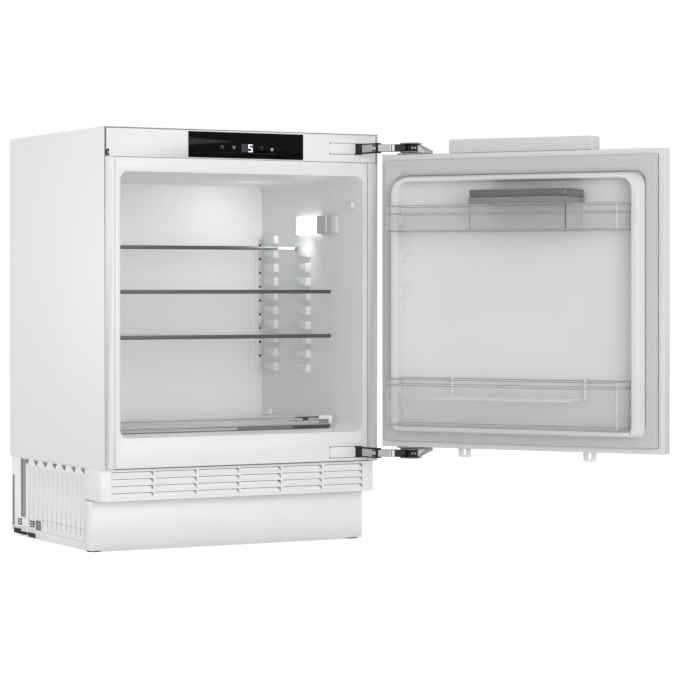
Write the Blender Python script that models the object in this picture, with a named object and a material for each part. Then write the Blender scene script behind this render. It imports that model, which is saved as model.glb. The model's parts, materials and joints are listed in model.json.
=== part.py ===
"""Built-in under-counter fridge with its door standing open, in metres, +Z up.

The origin is on the floor under the middle of the base. The front faces -Y.
A place on the door is given as "along", from its hinge edge towards its free
edge, and "out", from its inner face towards the outside.
"""
import math

import bmesh
import bpy
from mathutils import Vector

# Fits that all pieces share
gap = 0.0003                  # air between two fixed pieces that touch
overrun = 0.003               # how far a cutting shape passes a face
bore_play = 0.0003            # between a pin and its bore

# Cabinet body
body_width = 0.596
body_height = 0.820
body_depth = 0.500
shell_bottom = 0.163          # lower edge of the steel shell
sheet = 0.001                 # steel sheet of the shell and the door panel
side_return = 0.022           # front edge of the shell, folded inwards
back_inset = 0.002            # back panel behind the shell's rear edge

# Food compartment, moulded in one piece
side_wall = 0.033             # from the side face to the opening
floor_rise = 0.060            # opening above the shell's lower edge
ceiling_drop = 0.085          # opening below the cabinet's top
opening_radius = 0.016
rear_wall = 0.068             # from the compartment's back to the rear edge
side_draft = 0.011            # how much each side closes in at the back
end_draft = 0.005             # the same for floor and ceiling
liner_wall = 0.002

# Shelf lugs on the side walls
lug_pitch = 0.0301
lug_first_rise = 0.1287       # top of the lowest lug, above the opening's lower edge
lug_headroom = 0.029          # least room between the front lugs and the light
lug_reach = 0.011
lug_length = 0.046
lug_tall = 0.0175             # at the front end
lug_low = 0.011               # at the rear end
front_lug_start = 0.216       # from the front face
rear_lug_gap = 0.029          # behind the rear lugs

# Glass shelves
glass = 0.004
glass_side_gap = 0.013        # beside the glass, at the opening
shelf_back_gap = 0.004        # behind the glass
upper_shelf_front = 0.243
lower_shelf_front = 0.105
trim_depth = 0.009
trim_drop = 0.0028            # trim below the glass
trim_rise = 0.0008            # trim above the glass
trim_lip = 0.0028             # plastic in front of the glass edge
trim_side_gap = 0.004
upper_trim_inset = 0.004      # extra at each end, between the lugs
bottom_glass_rise = 0.0065    # above the opening's lower edge
bottom_glass_side_gap = 0.022
clip_length = 0.062
clip_width = 0.005
clip_rise = 0.0135
clip_bar = 0.0055

# Light, its housing, and the light switch on the right wall
lamp_front = 0.094
lamp_split = 0.170
lamp_back = 0.263
lamp_drop = 0.075             # below the opening's upper edge
lamp_tall = 0.0375
lamp_stand = 0.009            # how far the light stands out of the wall
housing_step = 0.130          # where the housing gets lower
housing_drop = 0.003
switch_front = 0.0285
switch_length = 0.020
switch_drop = 0.050           # below the opening's upper edge
switch_tall = 0.0115
switch_reach = 0.0095
switch_wall_gap = 0.0006

# Control strip above the compartment
fascia_rise = 0.0283          # above the opening's upper edge
fascia_depth = 0.012
fascia_side = 0.004
fascia_radius = 0.0015
display_width = 0.2508
display_shift = 0.0041        # to the right of the middle
display_low_margin = 0.0021   # over the strip's lower edge
display_high_margin = 0.0045  # under the cabinet's top
display_thick = 0.0025

# Door
door_side_gap = 0.001         # door's edge inside the side face
door_rise = 0.033             # door's lower edge above the shell's
door_drop = 0.044             # door's upper edge under the cabinet's top
door_thick = 0.030
seal_gap = 0.015              # between cabinet and door when shut
door_open_angle = 124.5       # degrees
open_corner_inset = 0.0229    # inner hinge corner of the open door, from the side
open_corner_reach = 0.0610    # the same corner, from the front face
border = 0.012                # steel border round the inner panel
flange_thick = 0.0018
dike_side = 0.033             # outer foot of the raised ring, from the door's edge
dike_ends = (0.029, 0.043)    # the same at the bottom and at the top
dike_tall = 0.040
dike_draft = 0.006
ring_side = 0.054             # foot of the ring's inner wall
ring_ends = (0.045, 0.058)
ring_draft = -0.002           # the recess widens towards its mouth
dike_radii = (0.014, 0.030)   # corners at the bottom and at the top
ring_radii = (0.008, 0.022)
seal_inner_gap = 0.0005
seal_top_end = 0.0365         # lower edge of the seal along the top
seal_thick = 0.0125
seal_foot_inset = 0.004
seal_foot = 0.006

# Hinges, above and below the door. Heights are counted from the door's edge.
bracket_pivot_in = 0.041      # pivot on the cabinet, from the side face
bracket_pivot_reach = 0.009   # the same pivot, from the front face
door_pivot_in = 0.040         # pivot on the door, along it
door_pivot_out = 0.015
link_a_length = 0.048
link_b_length = 0.051
pin_radius = 0.0025
eye_radius = 0.0065
cheek_low = 0.0040
cheek_thick = 0.0025
core_low = 0.0068
core_high = 0.0212
cheek_high = 0.0215
web_thick = 0.002
web_margin = 0.0085
pocket_low = 0.0028
pocket_high = 0.0252
pocket_inner = 0.108          # far end of the pocket, from the side face
pocket_outer = 0.034
cover_end = 0.0495            # where the blank cover stops, from the side face
cover_thick = 0.002
cover_radius = 0.004
knuckle_width = 0.013
knuckle_step = 0.0018         # knuckle block in front of the cabinet
plate_thick = 0.0026
plate_end = 0.100             # end of the plate on the door, along it
plate_depth = 0.026
plate_start = 0.033
wall_inner = 0.0225           # upright wall of the door bracket, "out" of the door
wall_thick = 0.0028
door_cheek_end = 0.064
screw_radius = 0.0036
screw_head = 0.0016
plate_screw_share = (0.72, 0.90)   # places of the two plate screws along the plate

# Door racks
rack_start = 0.0575           # both ends alike
rack_inner = 0.008            # back of the rack, in front of the inner face
rack_outer = 0.112
rack_wall = 0.0022
rack_radius = 0.016
rim_step = 0.0012
upper_rack_drop = 0.1055      # its top under the door's upper edge
upper_rack_tall = 0.0505
upper_rim_tall = 0.0155
lower_rack_rise = 0.0480      # its bottom above the door's lower edge
lower_rack_tall = 0.0900
lower_rim_tall = 0.0120
hook_depth = 0.018
hook_start = 0.012
hook_tall = 0.007
hook_drop = 0.012             # hook under the rack's top
door_lug_tall = 0.022
door_lug_play = 0.0004
spare_lug_drops = (0.259, 0.190)   # under the door's upper edge

# Box and lid in the upper rack
box_end_gap = 0.1005          # between the box and the rack's far end
box_length = 0.199
box_inner = 0.0120
box_outer = 0.1040
box_rise = 0.0145             # box above the rack's top
box_wall = 0.0016
box_radius = 0.006
lid_over = 0.0015             # lid past the box on each side
lid_tall = 0.014
lid_wall = 0.0016

# Bottle comb in the lower rack
comb_shift = 0.0025           # from the door's middle
comb_pitch = 0.031
comb_count = 10
comb_wire = 0.0019
comb_drop = 0.0365            # under the rack's top
comb_front = 0.099
comb_back = 0.0140
hanger_over = 0.0022          # wire's middle above the rack's rim
hanger_behind = 0.0023
hanger_drop = 0.009

# Fixings for a furniture door
cover_shift = 0.0005          # from the door's middle, to the hinge
cover_length = 0.301
cover_deep = 0.042
cover_tall = 0.027
cover_wall = 0.0015
tab_shift = 0.00175           # from the door's middle
tab_width = 0.0273
tab_spacing = 0.2642
tab_thick = 0.002
tab_drop = 0.0195
tab_rise = 0.020
tab_radius = 0.005
tab_slot_width = 0.005
tab_slot_length = 0.0105
tab_slot_low = 0.0055

# Base under the cabinet
base_bottom = 0.003
base_side_inset = 0.0015
base_back_inset = 0.007
base_wall = 0.0025
base_front = 0.0975           # where the ribbed side walls start
base_rear_cut_back = 0.096    # behind this the side stops higher, from the rear edge
base_rear_bottom = 0.0105
rib_end_gap = 0.0153          # between the last rib and the slot
rib_count = 7
rib_first = 0.1007
rib_depth = 0.0012
rib_low = 0.0275
notch_tall = 0.0135
notch_wide = 0.0100
notch_drop = 0.0025           # under the shell's lower edge
slot_back = 0.0570            # its rear end, from the rear edge
slot_width = 0.0282
slot_bottom = 0.0400
slot_drop = 0.0030            # under the shell's lower edge
fold_level = 0.0195
floor_front = 0.0700
floor_side_inset = 0.0050
coil_rest_level = 0.0200

# Ventilation grille and plinth
grille_front = 0.018
grille_tall = 0.062           # under the shell's lower edge
grille_wall = 0.0025
louvre_rows = 4
louvre_columns = 6
louvre_left_margin = 0.0225
louvre_right_margin = 0.0245
louvre_gap = 0.0042
louvre_row_pitch = 0.0135
louvre_drop = 0.006           # under the shell's lower edge
louvre_tall = 0.0098
louvre_deep = 0.0125
louvre_block = 0.015
louvre_slot = 0.0026
plinth_front = 0.064
plinth_gap = 0.0025           # between plinth and grille
plinth_wall = 0.0025
plinth_return = 0.032

# Feet and rear rollers
foot_radius = 0.0135
foot_disc = 0.0055
foot_side = 0.0145
foot_back = 0.086
stem_radius = 0.0050
stem_top = 0.060
boss_radius = 0.0095
boss_top = 0.045
roller_radius = 0.011
roller_width = 0.014
roller_side = 0.022
roller_back = 0.034           # from the rear edge
axle_radius = 0.0022
carrier_back = 0.014          # from the rear edge
carrier_wall = 0.0022
carrier_low = 0.0040
carrier_top = 0.0200
fork_back = 0.054             # front end of the fork, from the rear edge

# Cooling machinery in the base
compressor_side = 0.133       # its middle, from the right side face
compressor_back = 0.085       # its middle, from the rear edge
compressor_radius = 0.066
compressor_stretch_share = 1.30
compressor_seam = 0.0025
compressor_bottom = 0.022
compressor_headroom = 0.026   # between the compressor and the shell
foot_plate = 0.0030
foot_plate_reach = 0.072
foot_plate_wide = 0.022
post_radius = 0.009
coil_pitch = 0.026
coil_runs = 9
coil_left = 0.045
coil_clear = 0.133            # from its right end to the compressor's middle
coil_start = 0.150
coil_radius = 0.0024
tray_wall = 0.0015
tray_gap = 0.003
tray_tall = 0.012
tray_length = 0.150
tray_width = 0.110
plate_width = 0.380
plate_rise = 0.097            # above the opening's lower edge
plate_drop = 0.045            # under the opening's upper edge
evaporator_thick = 0.0015
inlet_width = 0.030
inlet_tall = 0.022
inlet_deep = 0.018
inlet_side = 0.058            # its middle, from the left side face
rear_rail_tall = 0.030

# Places that follow from the sizes above
left = -body_width / 2
right = body_width / 2
front = -body_depth / 2
back = body_depth / 2
opening_width = body_width - 2 * side_wall
opening_bottom = shell_bottom + floor_rise
opening_top = body_height - ceiling_drop
cavity_depth = body_depth - rear_wall
lamp_top = opening_top - lamp_drop
lamp_bottom = lamp_top - lamp_tall
lug_first = opening_bottom + lug_first_rise
lug_count = 1 + int((lamp_bottom - lug_headroom - lug_first) / lug_pitch)
rear_lug_start = cavity_depth - rear_lug_gap - lug_length
shelf_step = lug_count // 3   # lugs between one shelf and the next
upper_lug = lug_count - 1     # lug under the upper shelf, counted from 0
middle_lug = upper_lug - shelf_step
lower_lug = middle_lug - shelf_step
glass_width = opening_width - 2 * glass_side_gap
shelf_back = cavity_depth - shelf_back_gap
bottom_glass_level = opening_bottom + bottom_glass_rise
bottom_glass_width = opening_width - 2 * bottom_glass_side_gap
switch_top = opening_top - switch_drop
switch_bottom = switch_top - switch_tall
fascia_bottom = opening_top + fascia_rise
display_left = (body_width - display_width) / 2 + display_shift
display_right = display_left + display_width
display_bottom = fascia_bottom + display_low_margin
display_top = body_height - display_high_margin
plate_bottom = opening_bottom + plate_rise
plate_top = opening_top - plate_drop
door_width = body_width - 2 * door_side_gap
door_bottom = shell_bottom + door_rise
door_top = body_height - door_drop
upper_rack_top = door_top - upper_rack_drop
upper_rack_bottom = upper_rack_top - upper_rack_tall
upper_rack_rim = upper_rack_top - upper_rim_tall
lower_rack_bottom = door_bottom + lower_rack_rise
lower_rack_top = lower_rack_bottom + lower_rack_tall
lower_rack_rim = lower_rack_top - lower_rim_tall
spare_lug_levels = tuple(door_top - drop for drop in spare_lug_drops)
box_start = door_width - rack_start - box_end_gap - box_length
box_top = upper_rack_top + box_rise
comb_start = (door_width - comb_pitch * (comb_count - 1)) / 2 + comb_shift
comb_level = lower_rack_top - comb_drop
cover_start = (door_width - cover_length) / 2 - cover_shift
tab_start = (door_width - tab_spacing - tab_width) / 2 + tab_shift
base_rear_cut = body_depth - base_rear_cut_back
slot_end = body_depth - slot_back
slot_start = slot_end - slot_width
slot_top = shell_bottom - slot_drop
rib_pitch = (slot_start - rib_end_gap - rib_first) / (rib_count - 1)
notch_top = shell_bottom - notch_drop
grille_bottom = shell_bottom - grille_tall
louvre_top = shell_bottom - louvre_drop
louvre_run = body_width - louvre_left_margin - louvre_right_margin
louvre_pitch = (louvre_run + louvre_gap) / louvre_columns
louvre_width = louvre_pitch - louvre_gap
plinth_top = grille_bottom - plinth_gap
roller_place = body_depth - roller_back
carrier_end = body_depth - carrier_back
carrier_rise_start = body_depth - fork_back
compressor_x = right - compressor_side
compressor_height = shell_bottom - compressor_headroom - compressor_bottom - foot_plate
coil_right = compressor_x - left - coil_clear
inlet_x = left + inlet_side


def lug_top(number):
    """Height of a shelf lug's upper face."""
    return lug_first + number * lug_pitch


def door_x(along):
    """Place along the door, in the frame of its pivot."""
    return door_pivot_in - along


def door_y(out):
    """Place across the door's thickness, in the frame of its pivot."""
    return door_pivot_out - out


FINISHES = {
    "white_steel": ((0.84, 0.84, 0.84), 0.35, 0.0, 0.0),
    "white_plastic": ((0.82, 0.82, 0.82), 0.45, 0.0, 0.0),
    "grey_seal": ((0.52, 0.52, 0.53), 0.60, 0.0, 0.0),
    "foam": ((0.88, 0.80, 0.60), 0.90, 0.0, 0.0),
    "black_glass": ((0.01, 0.01, 0.01), 0.08, 0.0, 0.0),
    "black_plastic": ((0.02, 0.02, 0.02), 0.40, 0.0, 0.0),
    "clear_plastic": ((0.90, 0.92, 0.93), 0.08, 0.0, 0.9),
    "shelf_glass": ((0.80, 0.88, 0.86), 0.03, 0.0, 0.95),
    "smoke_trim": ((0.10, 0.10, 0.11), 0.30, 0.0, 0.0),
    "grey_lid": ((0.22, 0.22, 0.23), 0.35, 0.0, 0.0),
    "bright_steel": ((0.62, 0.62, 0.63), 0.25, 1.0, 0.0),
    "light_lens": ((1.00, 1.00, 0.98), 0.30, 0.0, 0.0),
    "copper": ((0.72, 0.36, 0.20), 0.30, 1.0, 0.0),
    "black_paint": ((0.02, 0.02, 0.02), 0.50, 0.0, 0.0),
}


def clear_scene():
    """Start from nothing, whatever the file held."""
    for obj in list(bpy.data.objects):
        bpy.data.objects.remove(obj, do_unlink=True)


def make_collections():
    """One collection for the fridge and one for the shapes that cut it."""
    parts = bpy.data.collections.new("undercounter_fridge")
    tools = bpy.data.collections.new("cutters")
    for collection in (parts, tools):
        bpy.context.scene.collection.children.link(collection)
    return parts, tools


def finish(name):
    """Principled material for a finish, made once."""
    found = bpy.data.materials.get(name)
    if found:
        return found
    colour, roughness, metallic, clear = FINISHES[name]
    made = bpy.data.materials.new(name)
    made.use_nodes = True
    shader = made.node_tree.nodes["Principled BSDF"]
    shader.inputs["Base Color"].default_value = (*colour, 1)
    shader.inputs["Roughness"].default_value = roughness
    shader.inputs["Metallic"].default_value = metallic
    shader.inputs["Transmission Weight"].default_value = clear
    return made


def add_object(name, bm, surface, parent=None, place=(0, 0, 0)):
    """Turn a bmesh into an object. Without a surface it is a cutting shape."""
    mesh = bpy.data.meshes.new(name)
    bm.normal_update()
    bmesh.ops.recalc_face_normals(bm, faces=bm.faces)
    bm.to_mesh(mesh)
    bm.free()
    obj = bpy.data.objects.new(name, mesh)
    obj.location = place
    obj.parent = parent
    if surface:
        mesh.materials.append(finish(surface))
        PARTS.objects.link(obj)
    else:
        TOOLS.objects.link(obj)
        obj.hide_render = True
        obj.display_type = "WIRE"
    return obj


def round_edges(bm, axis, radius, segments, above=None, below=None):
    """Round the edges that run along one axis, or only the high or the low ones."""
    edges = []
    for edge in bm.edges:
        run = edge.verts[1].co - edge.verts[0].co
        level = (edge.verts[0].co.z + edge.verts[1].co.z) / 2
        kept = (above is None or level > above) and (below is None or level < below)
        if kept and 2 * abs(run[axis]) > run.length:
            edges.append(edge)
    bmesh.ops.bevel(bm, geom=edges, offset=radius, segments=segments, profile=0.5,
                    affect="EDGES", material=-1)


def block(name, x, y, z, surface=None, parent=None, axis=2, radius=0, segments=3):
    """Box between two limits on each axis, with the edges along one axis rounded."""
    low = Vector((min(x), min(y), min(z)))
    high = Vector((max(x), max(y), max(z)))
    bm = bmesh.new()
    bmesh.ops.create_cube(bm, size=1)
    bmesh.ops.scale(bm, vec=high - low, verts=bm.verts)
    if radius:
        round_edges(bm, axis, radius, segments)
    return add_object(name, bm, surface, parent, (low + high) / 2)


def blocks(name, boxes, surface=None, parent=None):
    """Several separate boxes in one mesh, such as a row of slots."""
    bm = bmesh.new()
    for x, y, z in boxes:
        low = Vector((min(x), min(y), min(z)))
        high = Vector((max(x), max(y), max(z)))
        cube = bmesh.ops.create_cube(bm, size=1)["verts"]
        bmesh.ops.scale(bm, vec=high - low, verts=cube)
        bmesh.ops.translate(bm, vec=(low + high) / 2, verts=cube)
    return add_object(name, bm, surface, parent)


def shape_cube(bm, near, far):
    """Cube whose ends differ: near and far give x limits, y and z limits."""
    verts = bmesh.ops.create_cube(bm, size=1)["verts"]
    for vert in verts:
        x, y, z = near if vert.co.y < 0 else far
        vert.co = (x[vert.co.x > 0], y, z[vert.co.z > 0])
    return verts


def tapered(name, near, far, surface=None, parent=None, radii=(), segments=4):
    """Box that narrows from its near end to its far end. Radii: low and high corners."""
    bm = bmesh.new()
    shape_cube(bm, near, far)
    if radii:
        middle = sum(near[2]) / 2
        round_edges(bm, 1, radii[0], segments, below=middle)
        round_edges(bm, 1, radii[1], segments, above=middle)
    return add_object(name, bm, surface, parent)


def cylinder(name, radius, low, high, place, surface=None, parent=None, sides=20, axis=2):
    """Round bar between two levels along an axis, at a place on the other two."""
    bm = bmesh.new()
    bmesh.ops.create_cone(bm, cap_ends=True, segments=sides, radius1=radius, radius2=radius,
                          depth=high - low)
    centre = Vector((place[0], place[1], (low + high) / 2))
    obj = add_object(name, bm, surface, parent, centre)
    if axis == 0:
        obj.rotation_euler = (0, math.pi / 2, 0)
        obj.location = ((low + high) / 2, place[0], place[1])
    if axis == 1:
        obj.rotation_euler = (math.pi / 2, 0, 0)
        obj.location = (place[0], (low + high) / 2, place[1])
    smooth(obj)
    return obj


def cylinders(name, radius, spans, places, surface=None, parent=None, sides=16):
    """Upright round bars in one mesh, such as a set of pins or bores."""
    bm = bmesh.new()
    for low, high in spans:
        for x, y in places:
            bar = bmesh.ops.create_cone(bm, cap_ends=True, segments=sides, radius1=radius,
                                        radius2=radius, depth=high - low)["verts"]
            bmesh.ops.translate(bm, vec=(x, y, (low + high) / 2), verts=bar)
    obj = add_object(name, bm, surface, parent)
    smooth(obj)
    return obj


def strap(name, ends, radius, z, surface=None, parent=None, sides=20):
    """Flat bar with round ends between two points of a plane."""
    bm = bmesh.new()
    for level in z:
        for x, y in ends:
            ring = bmesh.ops.create_circle(bm, segments=sides, radius=radius)["verts"]
            bmesh.ops.translate(bm, vec=(x, y, level), verts=ring)
    hull = bmesh.ops.convex_hull(bm, input=bm.verts)
    loose = [item for item in hull["geom_interior"] if isinstance(item, bmesh.types.BMVert)]
    bmesh.ops.delete(bm, geom=loose, context="VERTS")
    bmesh.ops.dissolve_limit(bm, angle_limit=math.radians(1), verts=bm.verts, edges=bm.edges)
    return add_object(name, bm, surface, parent)


def smooth(obj):
    """Smooth shading that keeps the sharp edges."""
    obj.data.shade_smooth()
    obj.data.set_sharp_from_angle(angle=math.radians(35))


def boolean(target, operation, tools):
    """Cut or join with each tool in turn."""
    for tool in tools:
        change = target.modifiers.new(tool.name, "BOOLEAN")
        change.operation = operation
        change.solver = "EXACT"
        change.object = tool
    return target


def cut(target, *tools):
    return boolean(target, "DIFFERENCE", tools)


def fuse(target, *tools):
    return boolean(target, "UNION", tools)


def axis_empty(name, place, turn=0.0, parent=None):
    """Empty on a joint's axis, which carries the pieces that move with it."""
    empty = bpy.data.objects.new(name, None)
    empty.location = place
    empty.rotation_euler = (0, 0, turn)
    empty.parent = parent
    empty.empty_display_size = knuckle_width
    PARTS.objects.link(empty)
    return empty


def turned_vector(x, y, degrees):
    """A vector of the shut door, turned with the door."""
    turn = math.radians(degrees)
    return Vector((x * math.cos(turn) - y * math.sin(turn), x * math.sin(turn) + y * math.cos(turn)))


def hinge_points():
    """Plan places of the three pivots with the door open."""
    start = Vector((right - bracket_pivot_in, front - bracket_pivot_reach))
    corner = Vector((right - open_corner_inset, front - open_corner_reach))
    end = corner + turned_vector(-door_pivot_in, -door_pivot_out, door_open_angle)
    span = end - start
    along = (link_a_length ** 2 - link_b_length ** 2 + span.length ** 2) / (2 * span.length)
    aside = math.sqrt(max(link_a_length ** 2 - along ** 2, 0))
    unit = span.normalized()
    middle = start + unit * along + Vector((unit.y, -unit.x)) * aside
    return start, middle, end


def cavity_form(name, grow, near, far):
    """The compartment's tapered form, grown by a wall, between two depths."""
    ends = []
    for depth in (near, far):
        share = depth / cavity_depth
        half = opening_width / 2 - side_draft * share + grow
        low = opening_bottom + end_draft * share - grow
        high = opening_top - end_draft * share + grow
        ends.append(((-half, half), front + depth, (low, high)))
    radius = opening_radius + grow
    return tapered(name, ends[0], ends[1], radii=(radius, radius))


def cavity_half(depth):
    """Half the compartment's inner width at a depth."""
    return opening_width / 2 - side_draft * depth / cavity_depth


def outer_shell():
    """Steel shell: top, sides, bottom and the folded front edges."""
    shell = block("outer_shell", (left, right), (front, back), (shell_bottom, body_height),
                  "white_steel")
    inside = block("shell_inside", (left + sheet, right - sheet),
                   (front + sheet, back + overrun), (shell_bottom + sheet, body_height - sheet))
    mouth = block("shell_mouth", (left + side_return, right - side_return),
                  (front - overrun, front + overrun), (shell_bottom + sheet, fascia_bottom))
    strip = block("shell_strip", (left + sheet, right - sheet),
                  (front - overrun, front + overrun), (fascia_bottom - gap, body_height - sheet))
    cut(shell, inside, mouth, strip)


def back_panel():
    """Flat sheet that closes the back."""
    side = sheet + gap
    block("back_panel", (left + side, right - side), (back - back_inset - sheet, back - back_inset),
          (shell_bottom + side, body_height - side), "white_steel")


def pocket_span(level):
    """Height limits of a hinge pocket, from the hinge's own heights."""
    return level(pocket_low), level(pocket_high)


def hinge_pocket(name, level, depth):
    """Room for a hinge bracket in the cabinet's front."""
    return block(name, (right - pocket_inner, right - pocket_outer),
                 (front - overrun, front + depth), pocket_span(level))


def foam_insulation():
    """Foam between shell and compartment."""
    side = sheet + gap
    foam = block("foam_insulation", (left + side, right - side),
                 (front + liner_wall + gap, back - back_inset - sheet - gap),
                 (shell_bottom + side, body_height - side), "foam")
    room = cavity_form("foam_room", liner_wall + gap, -overrun, cavity_depth + liner_wall + gap)
    strip = block("foam_strip", (left - overrun, right + overrun),
                  (front - overrun, front + fascia_depth + gap),
                  (fascia_bottom - gap, body_height))
    pocket = hinge_pocket("foam_pocket", lower_level, fascia_depth + gap)
    side_half = plate_width / 2 + gap
    behind = front + cavity_depth + liner_wall
    slot = block("foam_slot", (-side_half, side_half),
                 (behind - overrun, behind + evaporator_thick + 2 * gap),
                 (plate_bottom - gap, plate_top + gap))
    cut(foam, room, strip, pocket, slot)


def evaporator_plate():
    """Cold plate behind the compartment's back wall."""
    behind = front + cavity_depth + liner_wall + gap
    block("evaporator_plate", (-plate_width / 2, plate_width / 2),
          (behind, behind + evaporator_thick), (plate_bottom, plate_top), "bright_steel")


def shelf_lugs(side):
    """Two columns of wedge lugs on one side wall."""
    bm = bmesh.new()
    for start, extra in ((front_lug_start, 0), (rear_lug_start, 1)):
        end = start + lug_length
        for number in range(lug_count + extra):
            top = lug_top(number)
            faces = []
            for depth, tall in ((start, lug_tall), (end, lug_low)):
                root = side * (cavity_half(depth) + liner_wall / 2)
                tip = side * (cavity_half(depth) - lug_reach)
                limits = (min(root, tip), max(root, tip))
                faces.append((limits, front + depth, (top - tall, top)))
            shape_cube(bm, faces[0], faces[1])
    return add_object("lugs_right" if side > 0 else "lugs_left", bm, None)


def inner_liner():
    """Moulded compartment with its front flange and shelf lugs."""
    edge = side_return + gap
    liner = block("inner_liner", (left + edge, right - edge), (front, front + liner_wall),
                  (shell_bottom + sheet + gap, fascia_bottom - 2 * gap), "white_plastic")
    tub = cavity_form("liner_tub", liner_wall, liner_wall / 2, cavity_depth + liner_wall)
    room = cavity_form("liner_room", 0, -overrun, cavity_depth)
    pocket = hinge_pocket("liner_pocket", lower_level, overrun)
    fuse(liner, tub)
    cut(liner, room, pocket)
    fuse(liner, shelf_lugs(-1), shelf_lugs(1))


def control_fascia():
    """White strip over the compartment, with recesses for display and hinge."""
    strip = block("control_fascia", (left + fascia_side, right - fascia_side),
                  (front, front + fascia_depth),
                  (fascia_bottom, body_height - sheet - gap), "white_plastic",
                  axis=1, radius=fascia_radius)
    window = block("display_recess", (left + display_left - gap, left + display_right + gap),
                   (front - overrun, front + display_thick + gap),
                   (display_bottom - gap, display_top + gap))
    cut(strip, window, hinge_pocket("fascia_pocket", upper_level, fascia_depth + overrun))


def display_glass():
    """Dark glass over the controls."""
    block("display_glass", (left + display_left, left + display_right),
          (front, front + display_thick), (display_bottom, display_top), "black_glass")


def lamp_box(name, start, end, low, high, surface=None):
    """Block on the right wall whose back follows the wall's slope."""
    inner = cavity_half(lamp_back) - lamp_stand
    near = ((inner, cavity_half(start) - gap), front + start, (low, high))
    far = ((inner, cavity_half(end) - gap), front + end, (low, high))
    return tapered(name, near, far, surface)


def lamp():
    """Light on the right wall: a glowing lens and its grey housing."""
    housing = lamp_box("lamp_housing", lamp_front, lamp_split - gap, lamp_bottom, lamp_top,
                       "white_plastic")
    inner = cavity_half(lamp_back) - lamp_stand
    step = block("housing_step", (inner - overrun, inner + housing_drop),
                 (front + lamp_front - overrun, front + housing_step),
                 (lamp_bottom - overrun, lamp_top + overrun))
    cut(housing, step)
    lamp_box("lamp_lens", lamp_split, lamp_back, lamp_bottom, lamp_top, "light_lens")


def door_switch():
    """Small lever on the right wall that the shut door pushes in."""
    wall = cavity_half(switch_front + switch_length) - switch_wall_gap
    middle = front + switch_front + switch_length / 2
    axis = axis_empty("door_switch_axis", (wall, middle, switch_bottom))
    block("door_switch", (-switch_reach, 0), (-switch_length / 2, switch_length / 2),
          (0, switch_top - switch_bottom), "white_plastic", axis, axis=2,
          radius=switch_reach / 3)


def shelf(name, lug, start, trim_inset):
    """Glass shelf on its lugs, with a dark trim along its front edge."""
    level = lug_top(lug) + gap
    axis = axis_empty(name + "_axis", (0, front + start, level))
    block(name + "_glass", (-glass_width / 2, glass_width / 2),
          (trim_lip + gap, shelf_back - start), (0, glass), "shelf_glass", axis)
    half = glass_width / 2 - trim_inset
    trim = block(name + "_front_trim", (-half, half), (0, trim_depth),
                 (-trim_drop, glass + trim_rise), "smoke_trim", axis, axis=0,
                 radius=trim_rise, segments=2)
    groove = block(name + "_trim_groove", (-half - overrun, half + overrun),
                   (trim_lip, trim_depth + overrun), (-gap, glass + gap), parent=axis)
    cut(trim, groove)


def bottom_shelf():
    """Glass plate over the compartment's floor, with its trim and side clips."""
    axis = axis_empty("bottom_shelf_axis", (0, front + lower_shelf_front, bottom_glass_level))
    back_edge = shelf_back - lower_shelf_front
    half = glass_width / 2
    block("bottom_shelf_glass", (-bottom_glass_width / 2, bottom_glass_width / 2),
          (trim_lip + gap, back_edge), (0, glass), "shelf_glass", axis)
    floor = opening_bottom + end_draft * (lower_shelf_front + trim_depth) / cavity_depth
    low = floor + 3 * gap - bottom_glass_level
    trim = block("bottom_shelf_front_trim", (-half + trim_side_gap, half - trim_side_gap),
                 (0, trim_depth), (low, glass + trim_rise), "smoke_trim", axis)
    groove = block("bottom_trim_groove", (-half, half), (trim_lip, trim_depth + overrun),
                   (-gap, glass + gap), parent=axis)
    cut(trim, groove)
    stands, arms = [], []
    for side in (-1, 1):
        x = (side * (half - clip_width), side * half)
        stands.append((x, (gap, trim_lip), (glass, glass + clip_rise - gap)))
        arms.append((x, (gap / 2, clip_length),
                     (glass + clip_rise - clip_bar, glass + clip_rise)))
    fuse(trim, blocks("clip_stands", stands, parent=axis), blocks("clip_arms", arms, parent=axis))


def upper_level(height):
    """Height of a hinge detail above the door."""
    return door_top + height


def lower_level(height):
    """Height of a hinge detail below the door."""
    return door_bottom - height


def cabinet_hinge(word, level):
    """Bracket in the cabinet's front, with its knuckle, and the blank cover."""
    start = hinge_points()[0]
    far, near = right - pocket_inner + gap, right - pocket_outer - gap
    low, high = level(pocket_low + gap), level(pocket_high - gap)
    block("hinge_cover_" + word, (far, right - cover_end - gap), (front, front + cover_thick),
          (low, high), "white_plastic", axis=1, radius=cover_radius, segments=2)
    bracket = block("cabinet_bracket_" + word, (far, near),
                    (front + cover_thick + gap, front + fascia_depth - gap), (low, high),
                    "bright_steel")
    half = knuckle_width / 2
    stand = block("knuckle_block_" + word, (start.x - half, start.x + half),
                  (front - knuckle_step, front + cover_thick + overrun), (low, high))
    neck = block("knuckle_neck_" + word, (start.x - half, start.x + half),
                 (start.y, front), (level(core_low), level(core_high)))
    eye = cylinder("knuckle_eye_" + word, half, min(level(core_low), level(core_high)),
                   max(level(core_low), level(core_high)), start)
    fuse(bracket, stand, neck, eye)
    cut(bracket, hinge_bore("knuckle_bore_" + word, start, level))


def hinge_bore(name, place, level, parent=None):
    """Bore for a hinge pin through all the plates at one pivot."""
    ends = sorted((level(cheek_low - overrun), level(cheek_high + cheek_thick + overrun)))
    return cylinder(name, pin_radius + bore_play, ends[0], ends[1], place, parent=parent, sides=16)


def pin_span(level):
    """A pin runs through both cheeks."""
    return tuple(sorted((level(cheek_low), level(cheek_high + cheek_thick))))


def cheek_spans(level):
    """Height limits of the two cheeks of a link or bracket."""
    low = sorted((level(cheek_low), level(cheek_low + cheek_thick)))
    high = sorted((level(cheek_high), level(cheek_high + cheek_thick)))
    return low, high


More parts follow.
